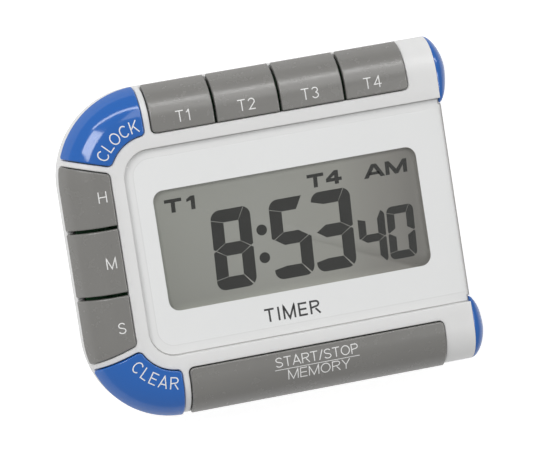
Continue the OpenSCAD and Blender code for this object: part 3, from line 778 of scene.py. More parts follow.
def skin_stations():
    """Path and along values of the grid on the skin; the corners are cut finer."""
    path = [0.0]
    while path[-1] < PATH - 0.5:
        p = path[-1]
        upper = PATH_ENDS[0] - 1 < p < PATH_ENDS[1]
        lower = PATH_ENDS[2] - 1 < p < PATH_ENDS[3]
        path.append(p + (0.55 if upper or lower else 1.3))
    path[-1] = PATH
    arc_end = FLAT_W + FRONT_ARC
    round_front = np.linspace(FLAT_W, arc_end, 27)
    lines = [CREASE_ROUND, 2.3, 3.4, 4.6], round_front, [arc_end + 1.0, JOINT_ALONG - JOINT_CHAMFER]
    return np.array(path), np.concatenate(lines)


def border_steps(path, along, first, last):
    """Six points that lead from a border point of the outer skin round to the inner skin."""
    if along == first:
        r = CREASE_ROUND
        turns = np.radians([22.5, 45, 67.5, 90])
        steps = [place(path, r - r * math.sin(t), Z_FRONT - r + r * math.cos(t)) for t in turns]
        return steps + [place(path, 0, Z_PANEL_LOW), place(path, WALL, Z_PANEL_LOW)]
    if along == last:
        chamfer = place(path, JOINT_ACROSS - JOINT_CHAMFER, Z_JOINT)
        return [chamfer] + [place(path, JOINT_ACROSS - WALL, Z_JOINT)] * 5
    return [on_frame(path, along, -WALL)] * 6


def cover_skin(solid):
    """Thick shell over the frame with filleted openings for the keys."""
    # the openings reach lower down the outer side, so that the keys can travel
    holes = [(Region(r.low, r.high, r.near, RIM_ALONG - GAP, *r.radii), s) for r, s in OPENINGS]
    path_set, along_set = skin_stations()
    first, last = along_set[0], along_set[-1]
    border = [(p, first) for p in path_set] + [(path_set[-1], a) for a in along_set[1:]]
    border += [(p, last) for p in path_set[::-1][1:]]
    border += [(path_set[0], a) for a in along_set[::-1][1:-1]]
    points, edges = [], []

    def add_loop(loop):
        start, count = len(points), len(loop)
        points.extend(loop)
        edges.extend((start + i, start + (i + 1) % count) for i in range(count))
        return start

    add_loop(border)
    rims = []
    for region, steps in holes:
        rim = region.loop(-(GAP + FILLET), steps, 6)
        rims.append((region, steps, add_loop(list(zip(*rim))), rim))
    grid_p, grid_a = np.meshgrid(path_set[1:-1], along_set[1:-1], indexing="ij")
    grid_p, grid_a = grid_p.ravel(), grid_a.ravel()
    keep = np.ones(len(grid_p), bool)
    for *_, (rim_p, rim_a) in rims:
        keep &= ~in_loop(grid_p, grid_a, rim_p, rim_a)
        away = (grid_p[:, None] - rim_p[None, :]) ** 2 + (grid_a[:, None] - rim_a[None, :]) ** 2
        keep &= np.min(away, axis=1) > 0.22**2
    points += list(zip(grid_p[keep], grid_a[keep]))
    result = delaunay_2d_cdt([Vector(p) for p in points], edges, [], 0, 1e-6)
    path = np.array([v[0] for v in result[0]])
    along = np.array([v[1] for v in result[0]])
    triangles = np.array(result[2])
    mid_p, mid_a = path[triangles].mean(1), along[triangles].mean(1)
    solid_part = np.ones(len(triangles), bool)
    for *_, rim in rims:
        solid_part &= ~in_loop(mid_p, mid_a, *rim)
    # index of each input point in the triangulation
    index = {k: i for i, sources in enumerate(result[3]) for k in sources}

    outer = np.array(solid.add(on_frame(path, along, 0.0)))
    inner_p, inner_a = path.copy(), along.copy()
    for region, steps, start, rim in rims:
        loop_p, loop_a = region.loop(-GAP, steps, 6)
        # 0.3 more at the far edge clears the key when it is down
        loop_a = loop_a + 0.3 * np.clip((loop_a - (region.far + GAP - 0.6)) / 0.6, 0, 1)
        for j in range(len(loop_p)):
            v = index[start + j]
            inner_p[v], inner_a[v] = loop_p[j], loop_a[j]
    for i in range(len(path_set)):
        inner_a[index[i]] = WALL
    inner = np.array(solid.add(on_frame(inner_p, inner_a, -WALL)))
    for a, b, c in triangles[solid_part]:
        solid.cap((outer[a], outer[b], outer[c]))
        solid.cap((inner[c], inner[b], inner[a]))
    for region, steps, start, rim in rims:
        at = [index[start + j] for j in range(rim.shape[1])]
        loops = []
        for k in range(1, 6):
            t = math.radians(18 * k)
            loop = region.loop(-(GAP + FILLET * (1 - math.sin(t))), steps, 6)
            loops.append(on_frame(*loop, -FILLET * (1 - math.cos(t))))
        rings = solid.loft(loops, start=[outer[v] for v in at])
        solid.band(rings[-1], [inner[v] for v in at])
    at = [index[i] for i in range(len(border))]
    loops = zip(*(border_steps(p, a, first, last) for p, a in border))
    rings = solid.loft(loops, start=[outer[v] for v in at])
    solid.band(rings[-1], [inner[v] for v in at])


def side_loop(inset):
    """Plan of the right side wall: it stands out between the two end caps."""
    x0, x1, x2 = X_CAP - WALL + inset, X_CAP - inset, X_RIGHT - inset
    y1, y2 = Y_CREASE - 0.02, SIDE_Y - inset
    half = [(x0, -y1), (x1, -y1), (x1, -y2), (x2, -y2)]
    return np.array(half + [(x, -y) for x, y in half[::-1]])


def build_front_cover():
    solid = Solid()
    cover_skin(solid)
    panel = round_box(
        X_CREASE + 0.02, X_CAP - 0.3, Y_CREASE - 0.02, CREASE_R, 0.3, 8, PANEL_STEPS
    )
    solid.plate(panel, window_loop(0.4), Z_PANEL_LOW, Z_PANEL)
    ring = solid.add(level(side_loop(0), Z_JOINT))
    solid.cap(ring[::-1])
    rim = ((0, 0.35), (0.1, 0.1), (0.3, 0.01))  # inset, depth below the panel face
    rings = solid.loft([level(side_loop(d), Z_PANEL - drop) for d, drop in rim], start=ring)
    solid.cap(rings[-1])
    low, top = 5.0, Z_PANEL_LOW
    case_boss = [(1.0, low), (2.1, low), (2.3, low + 0.2), (2.3, top), (1.0, top)]
    low = 10.62
    board_boss = [(0.8, low), (1.75, low), (1.9, 10.8), (1.9, top), (0.8, top)]
    for off_x, profile, count in ((30, case_boss, 32), (14, board_boss, 28)):
        for x in (-off_x, off_x):
            for y in (-20, 20):
                solid.lathe(WINDOW_X + x, y, profile, count)
    make("front_shell", solid, WHITE, replaces="front_cover")


build_front_cover()


# ---------------------------------------------------------------- keys
KEY_ROUND = 0.32


def build_key(key, region, posts, material=GREY, steps=26):
    """Curved key cap with a skirt inside the outer wall and plunger posts at (x, y)."""
    solid = Solid()
    steps = (steps, 26)
    under = PROUD - WALL

    def sheet(inset, lift):
        grid_p, grid_a = region.grid(inset, steps, 5)
        g = np.array(solid.add(on_frame(grid_p, grid_a, lift))).reshape(grid_p.shape)
        for i in range(g.shape[0] - 1):
            for j in range(g.shape[1] - 1):
                solid.cap((g[i, j], g[i + 1, j], g[i + 1, j + 1], g[i, j + 1]))
        return [*g[:-1, 0], *g[-1, :-1], *g[:0:-1, -1], *g[0, :0:-1]]

    rings = [(0.10, under), (0.0, under + 0.12), (0.0, PROUD - KEY_ROUND)]
    for k in range(1, 7):
        t = math.radians(15 * k)
        lift = PROUD - KEY_ROUND + KEY_ROUND * math.sin(t)
        rings.append((KEY_ROUND * (1 - math.cos(t)), lift))
    loops = [solid.add(on_frame(*region.loop(d, steps, 5), lift)) for d, lift in rings[:-1]]
    loops.append(sheet(*rings[-1]))
    for a, b in zip(loops, loops[1:]):
        solid.band(a, b)
    solid.band(sheet(0.15, under - 0.001), loops[0])

    inset = 0.6
    start, stop = (end(inset, KEY_ALONG - inset) for end in (region.low, region.high))
    path = np.linspace(start, stop, 40)
    foot = Z_KEY_LOW - 1.2
    skirt = ((10.5, 14.4), (11.5, 13.6), (11.5, foot), (10.5, foot))  # across, z
    solid.bar([place(path, across, z) for across, z in skirt])
    top = Z_KEY - WALL + 0.1
    post = [(0, 13.1), (1.35, 13.1), (1.6, 13.35), (1.6, top), (0, top)]
    for x, y in posts:
        solid.lathe(x, y, post, 28)
    make("key_cap_" + key if False else "button_" + key, solid, material,
         body="key_" + key, replaces="button_" + key, angle=42)


def build_keys():
    post_y = Y_CREASE + POST_OUT
    for i in range(4):
        x0 = ROW_START + i * (KEY_LENGTH + SPLIT)
        ends = (straight(X_CAP - (x0 + KEY_LENGTH), 1), straight(X_CAP - x0, -1))
        near_radii = {0: (0.25, 1.0), 3: (1.0, 0.25)}.get(i, SMALL)
        region = Region(*ends, *KEY_LINES, near_radii, SMALL)
        build_key(f"t{i + 1}", region, [(x0 + KEY_LENGTH / 2, post_y)])
    posts = [(ROW_START + 16, -post_y), (ROW_END - 16, -post_y)]
    build_key("start_stop", lower_row, posts, steps=70)
    post_x = X_CREASE - POST_OUT
    build_key("hour", hour_region, [(post_x, 14.4)])
    build_key("minute", minute_region, [(post_x, 0)])
    build_key("second", hour_region.mirrored(), [(post_x, -14.4)])
    angle, radius = math.radians(126), CREASE_R + POST_OUT
    x, y = CORNER_X + radius * math.cos(angle), CORNER_Y + radius * math.sin(angle)
    build_key("clock", clock_region, [(x, y)], BLUE, steps=34)
    build_key("clear", clear_region, [(x, -y)], BLUE, steps=34)


build_keys()


# ---------------------------------------------------------------- end caps
def cap_outline():
    """Section of the frame widened past the crease, as (across, z), from the inner back edge."""
    r = 1.5
    inner = r - CAP_OVER
    points = arc_points(inner, r, r, r, 180, 270, 7)
    points += [(x, 0) for x in np.linspace(inner, BACK_CENTRE, 5)[1:]]
    points += arc_points(BACK_CENTRE, Z_ARC, BACK_R, BACK_R, -90, 0, 15)[1:]
    points += arc_points(FLAT_W, Z_ARC, FRONT_R, FRONT_R, 0, 90, 15)[1:]
    points += [(x, Z_FRONT) for x in np.linspace(FLAT_W, inner, 7)[1:]]
    points += arc_points(inner, Z_FRONT - r, r, r, 90, 180, 7)[1:]
    points += [(-CAP_OVER, z) for z in np.linspace(Z_FRONT - r, r, 14)[1:-1]]
    return np.array(points)


def build_end_cap(name, sign):
    """Domed cap with a plug that enters the frame."""
    solid = Solid()
    outline = cap_outline()
    centre = np.array([6.2, Z_FRONT / 2])

    def ring(scale, x, plug=False):
        q = centre + (outline - centre) * scale
        if plug:
            q[:, 0] = np.maximum(q[:, 0], WALL + 0.2)
        off = q[:, 0] - centre[0]
        # the dome sinks towards both edges, more on the inner one
        inner = 0.5 * (off / (centre[0] + CAP_OVER)) ** 2
        outer = 0.3 * (off / (FRAME_W - centre[0])) ** 2
        sink = np.where(off < 0, inner, outer) if x > X_CAP + 0.1 else 0 * off
        return np.c_[X_CAP + (x - X_CAP) * (1 - sink), sign * (Y_CREASE + q[:, 0]), q[:, 1]]

    loops = [
        ring(0.78, X_CAP - 2.5, plug=True),
        ring(0.78, X_CAP + 0.005, plug=True),
        ring(0.985, X_CAP + 0.01),
        ring(0.998, X_CAP + 0.1),
    ]
    for k in range(1, 21):
        t = math.radians(90 * k / 21)
        x = X_CAP + 0.1 + (CAP_DEPTH - 0.1) * math.sin(t)
        loops.append(ring(0.998 * math.cos(t) ** 0.95, x))
    rings = solid.loft(loops)
    solid.fan(rings[-1], (X_CAP + CAP_DEPTH, sign * (Y_CREASE + centre[0]), centre[1]))
    solid.cap(rings[0])
    make(name + "_dome", solid, BLUE, replaces=name, angle=50)


build_end_cap("end_cap_upper", 1)
build_end_cap("end_cap_lower", -1)


# ---------------------------------------------------------------- lens and its printed border
def lens_loop(inset):
    return panel_loop(0.14 + inset, 0.24 + min(inset, 0.35), 10)


def build_lens():
    solid = Solid()
    # rings as (inset, z): a small round at the rim, a gentle slope, a soft step to the flat face
    turns = np.radians(np.linspace(0, 75, 6))
    rings = [(0.05, Z_PANEL + 0.03), (0.0, Z_PANEL + 0.08)]
    rings += [(0.30 * (1 - math.cos(t)), Z_LENS - 0.55 + 0.30 * math.sin(t)) for t in turns]
    slope = ((0.9, 0.20), (1.5, 0.13), (1.85, 0.10), (2.0, 0.06), (2.12, 0.02), (2.25, 0), (2.4, 0))
    rings += [(inset, Z_LENS - drop) for inset, drop in slope]
    ids = solid.loft([level(lens_loop(inset), z) for inset, z in rings])
    solid.cap(ids[-1])
    ids = solid.loft([level(lens_loop(0.2), Z_PANEL + 0.03)], start=ids[0])
    solid.cap(ids[-1])
    make("lens_plate", solid, CLEAR, replaces="display_lens", angle=45)


def build_border():
    solid = Solid()
    outer = panel_loop(0.22, 0.38, 8)
    solid.plate(outer, window_loop(0), Z_PANEL + 0.005, Z_PANEL + 0.025)
    make("lens_border_print", solid, BORDER)


def build_lens_gap_shadow():
    """Painted shadow of the gap between the lens and the cover: a grey ring and a grey strip at the
    right wall; it reads as a fine grey line round the panel.
    """
    solid = Solid()
    solid.plate(lens_loop(-0.06), lens_loop(0.10), Z_PANEL + 0.03, Z_PANEL + 0.05)
    x, y = X_RIGHT - 0.24, SIDE_Y - 0.3
    strip = np.array([(x - 0.13, -y), (x - 0.01, -y), (x - 0.01, y), (x - 0.13, y)])
    low, high = solid.loft([level(strip, Z_PANEL + 0.06), level(strip, Z_LENS - 0.56)])
    solid.cap(high)
    solid.cap(low[::-1])
    make("lens_gap_painted_shadow_line", solid, GAP_SHADOW_GREY)


def build_lens_band(name, outer, inner, lift, material):
    """Painted shade: the lens bevel bends the view, so the border reads a shade darker under it, and
    this band is printed darker to show it.
    """
    solid = Solid()
    solid.plate(lens_loop(outer), lens_loop(inner), Z_PANEL + 0.026, Z_PANEL + lift)
    make(name, solid, material)


build_lens()
build_border()
build_lens_gap_shadow()
build_lens_band("lens_bevel_painted_shade", outer=0.12, inner=1.95, lift=0.032, material=BEVEL_PAINTED_SHADE)
build_lens_band("lens_bevel_painted_shade_line", outer=1.95, inner=2.15, lift=0.034, material=BEVEL_PAINTED_SHADE_LINE)


def build_polariser():
    solid = Solid()
    loops = []
    for inset, z in ((0, Z_GLASS + 0.005), (0, Z_LCD - 0.03), (0.03, Z_LCD)):
        x = 32.4 - inset
        loop = round_box(WINDOW_X - x, WINDOW_X + x, 15.4 - inset, 0.6, 0.6, 4, (30, 16))
        loops.append(level(loop, z))
    rings = solid.loft(loops)
    solid.cap(rings[-1])
    solid.cap(rings[0])
    make("lcd_polariser_sheet", solid, LCD)


build_polariser()


# ---------------------------------------------------------------- legends
# widths of the capitals for a height of 1
GLYPH_WIDTHS = {
    "T": 0.66, "1": 0.42, "2": 0.6, "3": 0.6, "4": 0.66, "H": 0.74, "M": 0.86, "S": 0.66,
    "C": 0.76, "L": 0.54, "O": 0.82, "K": 0.68, "E": 0.6, "A": 0.74, "R": 0.68, "/": 0.34,
    "P": 0.64, "Y": 0.70, "I": 0.2,
}


def glyph(char, half, wide=1.0):
    """Centre lines of a plain capital of height 1, and its width; half is half the stroke."""
    width = GLYPH_WIDTHS[char] * wide
    left, right, low, top = half, width - half, half, 1 - half
    mid = width / 2
    span = right - mid
    lines = {
        "T": [[(0, top), (width, top)], [(mid, 1 - 2 * half), (mid, 0)]],
        "1": [
            [(width * 0.62, 1), (width * 0.62, 0)],
            [(width * 0.05, 0.74), (width * 0.30, 0.79), (width * 0.62 - half * 0.6, 0.96)],
        ],
        "2": [arc_points(mid, 0.71, span, top - 0.71, 168, -28) + [(left + 0.02, low), (width, low)]],
        "3": [
            arc_points(mid - 0.01, 0.745, span * 0.93, top - 0.745, 160, -82, 12),
            arc_points(mid - 0.01, 0.28, span, 0.28 - low, 82, -165),
        ],
        "4": [[
            (width * 0.70, 0), (width * 0.70, 1 - half * 0.4),
            (left * 0.6, 0.26 + half), (width, 0.26 + half),
        ]],
        "H": [
            [(left, 0), (left, 1)],
            [(right, 0), (right, 1)],
            [(2 * half, 0.5), (width - 2 * half, 0.5)],
        ],
        "M": [[
            (left, 0), (left, 1 - half * 0.4), (mid, 0.04), (right, 1 - half * 0.4), (right, 0)
        ]],
        "S": [
            arc_points(mid, 0.735, span * 0.92, top - 0.735, 20, 262, 13)
            + arc_points(mid, 0.27, span, 0.27 - low, 82, -162)
        ],
        "C": [arc_points(mid, 0.5, span, top - 0.5, 42, 318, 22)],
        "L": [[(left, 1), (left, low), (width, low)]],
        "O": [arc_points(mid, 0.5, span, top - 0.5, 0, 360, 30)],
        "K": [
            [(left, 0), (left, 1)],
            [(right, 1), (2 * half, 0.36)],
            [(width * 0.42, 0.60), (width, 0)],
        ],
        "E": [
            [(width, top), (left, top), (left, low), (width, low)],
            [(2 * half, 0.5), (width * 0.93, 0.5)],
        ],
        "A": [
            [(half * 0.5, 0), (mid, 1 - half * 0.3), (width - half * 0.5, 0)],
            [(width * 0.22, 0.31), (width * 0.78, 0.31)],
        ],
        "R": [
            [(left, 0), (left, top), (width * 0.58, top)]
            + arc_points(width * 0.60, 0.735, width * 0.40 - half, 0.265 - half, 90, -90, 10)
            + [(2 * half, 0.47)],
            [(width * 0.55, 0.47 - half), (width, 0)],
        ],
        "P": [
            [(left, 0), (left, top), (width * 0.58, top)]
            + arc_points(width * 0.58, 0.72, width * 0.42 - half, 0.28 - half, 90, -90, 10)
            + [(2 * half, 0.44)]
        ],
        "Y": [
            [(half * 0.5, 1), (mid, 0.44)],
            [(width - half * 0.5, 1), (mid, 0.44), (mid, 0)],
        ],
        "I": [[(mid, 0), (mid, 1)]],
        "/": [[(0, 0), (width, 1)]],
    }
    return lines[char], width


def ribbon(line, stroke, step=0.32):
    """Left and right edges of a stroke with mitred corners, and whether it closes on itself."""
    q = [np.array(line[0], float)]
    for a, b in zip(line, line[1:]):
        a, b = np.array(a, float), np.array(b, float)
        count = max(1, int(math.ceil(np.linalg.norm(b - a) / step)))
        q += [a + (b - a) * k / count for k in range(1, count + 1)]
    q = np.array(q)
    ways = np.diff(q, axis=0)
    ways = ways / np.maximum(np.linalg.norm(ways, axis=1, keepdims=True), 1e-9)
    closed = np.linalg.norm(q[0] - q[-1]) < 1e-6
    left, right = [], []
    for i in range(len(q)):
        before = ways[i - 1] if i > 0 or closed else ways[0]
        after = ways[i] if i < len(ways) else ways[0 if closed else -1]
        normal = np.array([-before[1], before[0]])
        mitre = normal + np.array([-after[1], after[0]])
        mitre = mitre / max(np.linalg.norm(mitre), 1e-6)
        reach = min(1 / max(np.dot(mitre, normal), 0.35), 2.4)
        left.append(q[i] + mitre * stroke / 2 * reach)
        right.append(q[i] - mitre * stroke / 2 * reach)
    return np.array(left), np.array(right), closed


def text_lines(text, size, stroke, wide, track):
    """Strokes of a line of text in mm, centred on 0; track is the space between letters."""
    x, lines = 0.0, []
    for char in text:
        strokes, width = glyph(char, stroke / size / 2, wide)
        lines += [[((x + px) * size, py * size) for px, py in line] for line in strokes]
        x += width + track
    half = (x - track) * size / 2
    return [[(px - half, py - size / 2) for px, py in line] for line in lines]


def arc_text(text, size, stroke, radius, middle, sign, track):
    """Capitals along an arc about 0; with sign 1 they run clockwise, with their feet inwards."""
    letters = [glyph(char, stroke / size / 2) for char in text]
    widths = [width * size for _, width in letters]
    start = -(sum(widths) + track * (len(text) - 1)) / 2
    lines = []
    for (strokes, _), width in zip(letters, widths):
        angle = math.radians(middle) - sign * (start + width / 2) / radius
        start += width + track
        turn = angle - sign * math.pi / 2
        ox, oy = radius * math.cos(angle), radius * math.sin(angle)
        c, s = math.cos(turn), math.sin(turn)
        for line in strokes:
            flat = [(x * size - width / 2, y * size - size / 2) for x, y in line]
            lines.append([(ox + x * c - y * s, oy + x * s + y * c) for x, y in flat])
    return lines


def key_height(x, y, lift):
    """Height of the key surface above a plan position, lifted off it."""
    off_x, off_y = x - CORNER_X, np.abs(y)
    corner = np.hypot(off_x, off_y - CORNER_Y) - CREASE_R
    left = np.where(off_y <= CORNER_Y, X_CREASE - x, corner)
    across = np.where(off_x >= 0, off_y - Y_CREASE, left)
    radius = FRONT_R + PROUD + lift
    drop = np.maximum(radius**2 - np.clip(across - FLAT_W, 0, None) ** 2, 0)
    return np.where(across <= FLAT_W, Z_KEY + lift, Z_ARC + np.sqrt(drop))


def panel_height(x, y, lift):
    return np.full(len(x), Z_PANEL + 0.03 + lift * 0.5)


def legend(name, body, lines, stroke, x, y,
           material=LEGEND, height=key_height):
    """Printed strokes about (x, y), laid on a surface as a thin closed film."""
    solid = Solid()
    for line in lines:
        left, right, closed = ribbon(line, stroke)
        rows = []
        for q, lift in ((left, 0.018), (right, 0.018), (right, -0.03), (left, -0.03)):
            q = q + (x, y)
            rows.append(np.c_[q, height(q[:, 0], q[:, 1], lift)])
        solid.bar(rows, capped=not closed)
    make(name, solid, material, body=body, angle=50, weld=1e-7)


def build_legends():
    # name, key, text, size, stroke, letter width, track, x from the window's centre, y
    upper_and_left = [
        ("t1", "t1", "T1", 2.5, 0.23, 1.05, 0.23, -20.79, 28.8),
        ("t2", "t2", "T2", 2.5, 0.23, 1.05, 0.23, -6.55, 28.8),
        ("t3", "t3", "T3", 2.5, 0.23, 1.05, 0.23, 7.92, 28.8),
        ("t4", "t4", "T4", 2.5, 0.23, 1.05, 0.23, 22.23, 28.8),
        ("hour", "hour", "H", 2.45, 0.23, 1.06, 0.14, -41.31, 14.27),
        ("minute", "minute", "M", 2.45, 0.23, 1.06, 0.14, -41.63, -0.22),
        ("second", "second", "S", 2.45, 0.23, 1.06, 0.14, -41.55, -14.60),
    ]
    start_stop = ("start_stop", "start_stop", "START/STOP", 2.2, 0.21, 1.14, 0.13, 0.43, -28.3)
    memory = ("memory", "start_stop", "MEMORY", 2.25, 0.21, 1.22, 0.16, 0.65, -31.4)

    def straight_legend(name, key, text, size, stroke, wide, track, x, y):
        lines = text_lines(text, size, stroke, wide, track)
        legend("legend_" + name, "key_" + key, lines, stroke, WINDOW_X + x, y)

    for row in upper_and_left:
        straight_legend(*row)
    arc = dict(size=2.7, stroke=0.25)
    lines = arc_text("CLOCK", radius=11.4, middle=123.6, sign=1, track=0.44, **arc)
    x, y = CORNER_X - 0.42, CORNER_Y + 0.06
    legend("legend_clock", "key_clock", lines, arc["stroke"], x, y)
    lines = arc_text("CLEAR", radius=11.9, middle=236.8, sign=-1, track=0.52, **arc)
    x, y = CORNER_X, -CORNER_Y
    legend("legend_clear", "key_clear", lines, arc["stroke"], x, y)
    straight_legend(*start_stop)
    rule = [[(-9.7, 0), (9.7, 0)]]
    legend("legend_rule", "key_start_stop", rule, 0.14, WINDOW_X + 0.36, -29.97)
    straight_legend(*memory)
    word = text_lines("TIMER", size=3.0, stroke=0.42, wide=1.1, track=0.22)
    legend("panel_word", "case", word, 0.42, WINDOW_X - 3.0, -17.9,
           material=BLACK_INK, height=panel_height)


build_legends()

# ---------------------------------------------------------------- display contents
LIT = {"0": "abcdef", "3": "abgcd", "4": "fgbc", "5": "afgcd", "8": "abcdefg"}
LEAN = 0.05


def lcd_slab(solid, outline, x, y, height=0.0):
    """Thin leaning plate; x is measured from the window's centre, y is the outline's mid height."""
    q = np.asarray(outline, float)
    rise = q[:, 1] - height / 2
    plan = np.c_[WINDOW_X + x + q[:, 0] + (rise * LEAN if height else 0), y + rise]
    top = solid.add(level(plan, Z_LCD + 0.012))
    low = solid.add(level(plan, Z_LCD - 0.01))
    solid.cap(top)
    solid.cap(low[::-1])
    solid.band(top, low)


def digit_outlines(w, h, bar, radius, gap):
    """Seven segments in a w by h box, cut apart by slanted gaps; a is the top, g the middle."""
    mid, half, g = h / 2, bar / 2, gap / 2
    right, top = w - bar, h - bar  # inner sides of the bars
    up = 0.27 * bar  # how far the outer end of a corner gap lies past the inner corner
    outer, tip = bar * 0.14, bar * 0.18

    def turn(cx, cy, start, stop, count):
        return arc_points(cx, cy, radius, radius, start, stop, count)

    return {
        "a": [(bar * 0.99, top), (right - g * 1.2, top), (w - half - g * 1.1, h)]
        + turn(radius, h - radius, 90, 172, 6)
        + [(0, top + up + g)],
        "f": [
            (0, top + up - g), (bar, top - g * 1.6), (bar, mid + half + g * 1.2),
            (tip, mid + g), (0, mid + outer),
        ],
        "b": [(right, top + g * 0.2), (w - half + g * 0.9, h - 0.002 * h)]
        + turn(w - radius, h - radius, 62, 0, 5)
        + [(w, mid + outer), (w - tip, mid + g), (right, mid + half + g * 1.2)],
        "g": [
            (bar * 0.22 + g, mid), (bar + g * 0.3, mid + half), (right - g * 0.3, mid + half),
            (w - bar * 0.22 - g, mid), (right - g * 0.3, mid - half), (bar + g * 0.3, mid - half),
        ],
        "e": [
            (0, bar - up * 0.6 + g), (bar, bar + g * 1.6), (bar, mid - half - g * 1.2),
            (tip, mid - g), (0, mid - outer),
        ],
        "d": [(0, bar - up * 0.6 - g)]
        + turn(radius, radius, 188, 270, 6)
        + turn(w - radius, radius, 270, 303, 3)
        + [(right - g * 0.6, bar - g * 0.4), (bar, bar)],
        "c": [(right, bar + g * 0.2 + g)]
        + turn(w - radius, radius, 313, 360, 4)
        + [(w, mid - outer), (w - tip, mid - g), (right, mid - half - g * 1.2)],
    }


def build_segments():
    solid = Solid()
    large = dict(w=9.0, h=17.6, bar=2.8, radius=2.0, gap=0.125)
    small = dict(w=6.2, h=11.7, bar=1.75, radius=1.3, gap=0.12)
    # digit, x and y of its centre, size
    digits = [
        ("8", -13.6, -2.1, large),
        ("5", -0.33, -2.0, large),
        ("3", 9.29, -2.0, large),
        ("4", 17.85, -5.35, small),
        ("0", 24.55, -5.1, small),
    ]
    for char, x, y, size in digits:
        outlines = digit_outlines(**size)
        for part in LIT[char]:
            lcd_slab(solid, outlines[part], x - size["w"] / 2, y, size["h"])
    dot = arc_points(0, 0, 1.2, 1.2, 0, 360, 33)[:-1]
    for x, y in ((-6.75, 0.78), (-7.0, -5.36)):
        lcd_slab(solid, dot, x, y)
    make("lcd_segments", solid, SEGMENT, weld=1e-8)


def bold_outlines(char, w):
    """Heavy capital as plates in a box of w by 1."""
    bar, stem = 0.25, 0.31
    mid, right, top = w / 2, w - stem, 1 - bar
    x = w * 0.80  # right side of the stem of the 4
    foot = stem * 1.15
    return {
        "T": [
            [(0, top), (w, top), (w, 1), (0, 1)],
            [(mid - stem / 2, 0), (mid + stem / 2, 0), (mid + stem / 2, top), (mid - stem / 2, top)],
        ],
        "1": [
            [(right, 0), (w, 0), (w, 1), (right, 1)],
            [(right, 1), (0, 0.80), (0, 0.80 - bar * 0.8), (right, 1 - bar * 1.25)],
        ],
        "4": [
            [(x - stem, 0), (x, 0), (x, 1), (x - stem, 1)],
            [(0, 0.22), (x - stem, 0.22), (x - stem, 0.22 + bar), (0, 0.22 + bar)],
            [(x, 0.22), (w, 0.22), (w, 0.22 + bar), (x, 0.22 + bar)],
            [(0, 0.22 + bar), (foot, 0.22 + bar), (x - stem, 1 - bar * 1.35), (x - stem, 1)],
        ],
        "A": [
            [(0, 0), (foot, 0), (mid, 1 - bar * 1.1), (mid, 1), (mid - stem * 0.62, 1)],
            [(w, 0), (w - foot, 0), (mid, 1 - bar * 1.1), (mid, 1), (mid + stem * 0.62, 1)],
            [
                (w * 0.22, 0.2), (w * 0.78, 0.2),
                (w * 0.70, 0.2 + bar * 0.85), (w * 0.30, 0.2 + bar * 0.85),
            ],
        ],
        "M": [
            [(0, 0), (stem, 0), (stem, 1), (0, 1)],
            [(right, 0), (w, 0), (w, 1), (right, 1)],
            [(stem, 1), (stem, 0.58), (mid - stem * 0.42, 0), (mid, 0), (mid, 0.36)],
            [(right, 1), (right, 0.58), (mid + stem * 0.42, 0), (mid, 0), (mid, 0.36)],
        ],
    }[char]


def build_sign(text, widths, x, y, gap):
    """Small heavy text on the display, centred on (x, y)."""
    solid = Solid()
    size = 3.0
    x -= (sum(widths) + gap * (len(text) - 1)) / 2
    for char, width in zip(text, widths):
        for outline in bold_outlines(char, width / size):
            lcd_slab(solid, np.array(outline) * size, x, y, size)
        x += width + gap
    make("lcd_sign_" + text.lower(), solid, SEGMENT, weld=1e-8)


build_segments()
build_sign("T1", widths=(3.9, 1.9), x=-24.0, y=9.45, gap=1.1)
build_sign("T4", widths=(3.8, 3.6), x=8.95, y=9.4, gap=0.5)
build_sign("AM", widths=(4.9, 5.0), x=22.95, y=9.3, gap=0.12)

# ---------------------------------------------------------------- CAD pieces that stay
# node, material, bevel width (0 for none), whether flat faces are merged
DRESSED = [
    ("rear_cover", WHITE, 0.18, True),
    ("battery_door", WHITE, 0.15, True),
    ("stand", WHITE, 0.22, True),
    ("magnets", NICKEL, 0.2, True),
    ("casing_screws", STEEL, 0.06, True),
    ("board_screws", STEEL, 0.05, True),
    ("circuit_board", BOARD, 0.05, True),
    ("main_chip", RESIN, 0, True),
    ("quartz_crystal", NICKEL, 0.05, True),
    ("chip_parts", CHIP, 0.05, True),
    ("lcd_glass", GLASS, 0.05, True),
    ("lcd_reflector", FILM, 0.03, True),
    ("lcd_frame", FRAME, 0.1, True),
    ("zebra_strip", ZEBRA, 0.1, True),
    ("buzzer_disc", BRASS, 0.04, True),
    ("buzzer_ceramic", PIEZO, 0.04, True),
    ("buzzer_wires", WIRE, 0, False),
    ("battery", CELL, 0.3, True),
    ("battery_spring", SPRING, 0, False),
    ("battery_plate", SPRING, 0.06, True),
    ("battery_wires", WIRE, 0, False),
]


def dress(node, material, width, merge):
    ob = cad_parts[node]
    ob.data.materials.clear()
    ob.data.materials.append(material)
    for face in ob.data.polygons:
        face.material_index = 0
    if merge:
        flats = ob.modifiers.new("merge_flats", "DECIMATE")
        flats.decimate_type = "DISSOLVE"
        flats.angle_limit = math.radians(0.6)
    if width:
        bevel = ob.modifiers.new("soft_edges", "BEVEL")
        bevel.width = width / MM
        bevel.segments = 2
        bevel.limit_method = "ANGLE"
        bevel.angle_limit = math.radians(30)
        bevel.use_clamp_overlap = True
        bevel.harden_normals = True


for row in DRESSED:
    dress(*row)
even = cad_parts["rear_cover"].modifiers.new("even_shading", "WEIGHTED_NORMAL")
even.weight = 100
even.keep_sharp = True

# ---------------------------------------------------------------- rubber domes
# (radius, height) from the hollow's centre, out round the foot and up to the top
DOME = [
    (0, 1.45), (1.2, 1.45), (2.0, 1.3), (2.45, 0.8), (2.75, 0.05), (2.9, 0.0),
    (3.3, 0.0), (3.4, 0.1), (3.4, 0.5), (3.3, 0.6), (3.0, 0.66), (2.7, 0.9),
    (2.3, 1.5), (2.05, 1.95), (1.95, 2.2), (1.9, 2.42), (1.82, 2.5), (0, 2.5),
]
DOME_R = 3.4


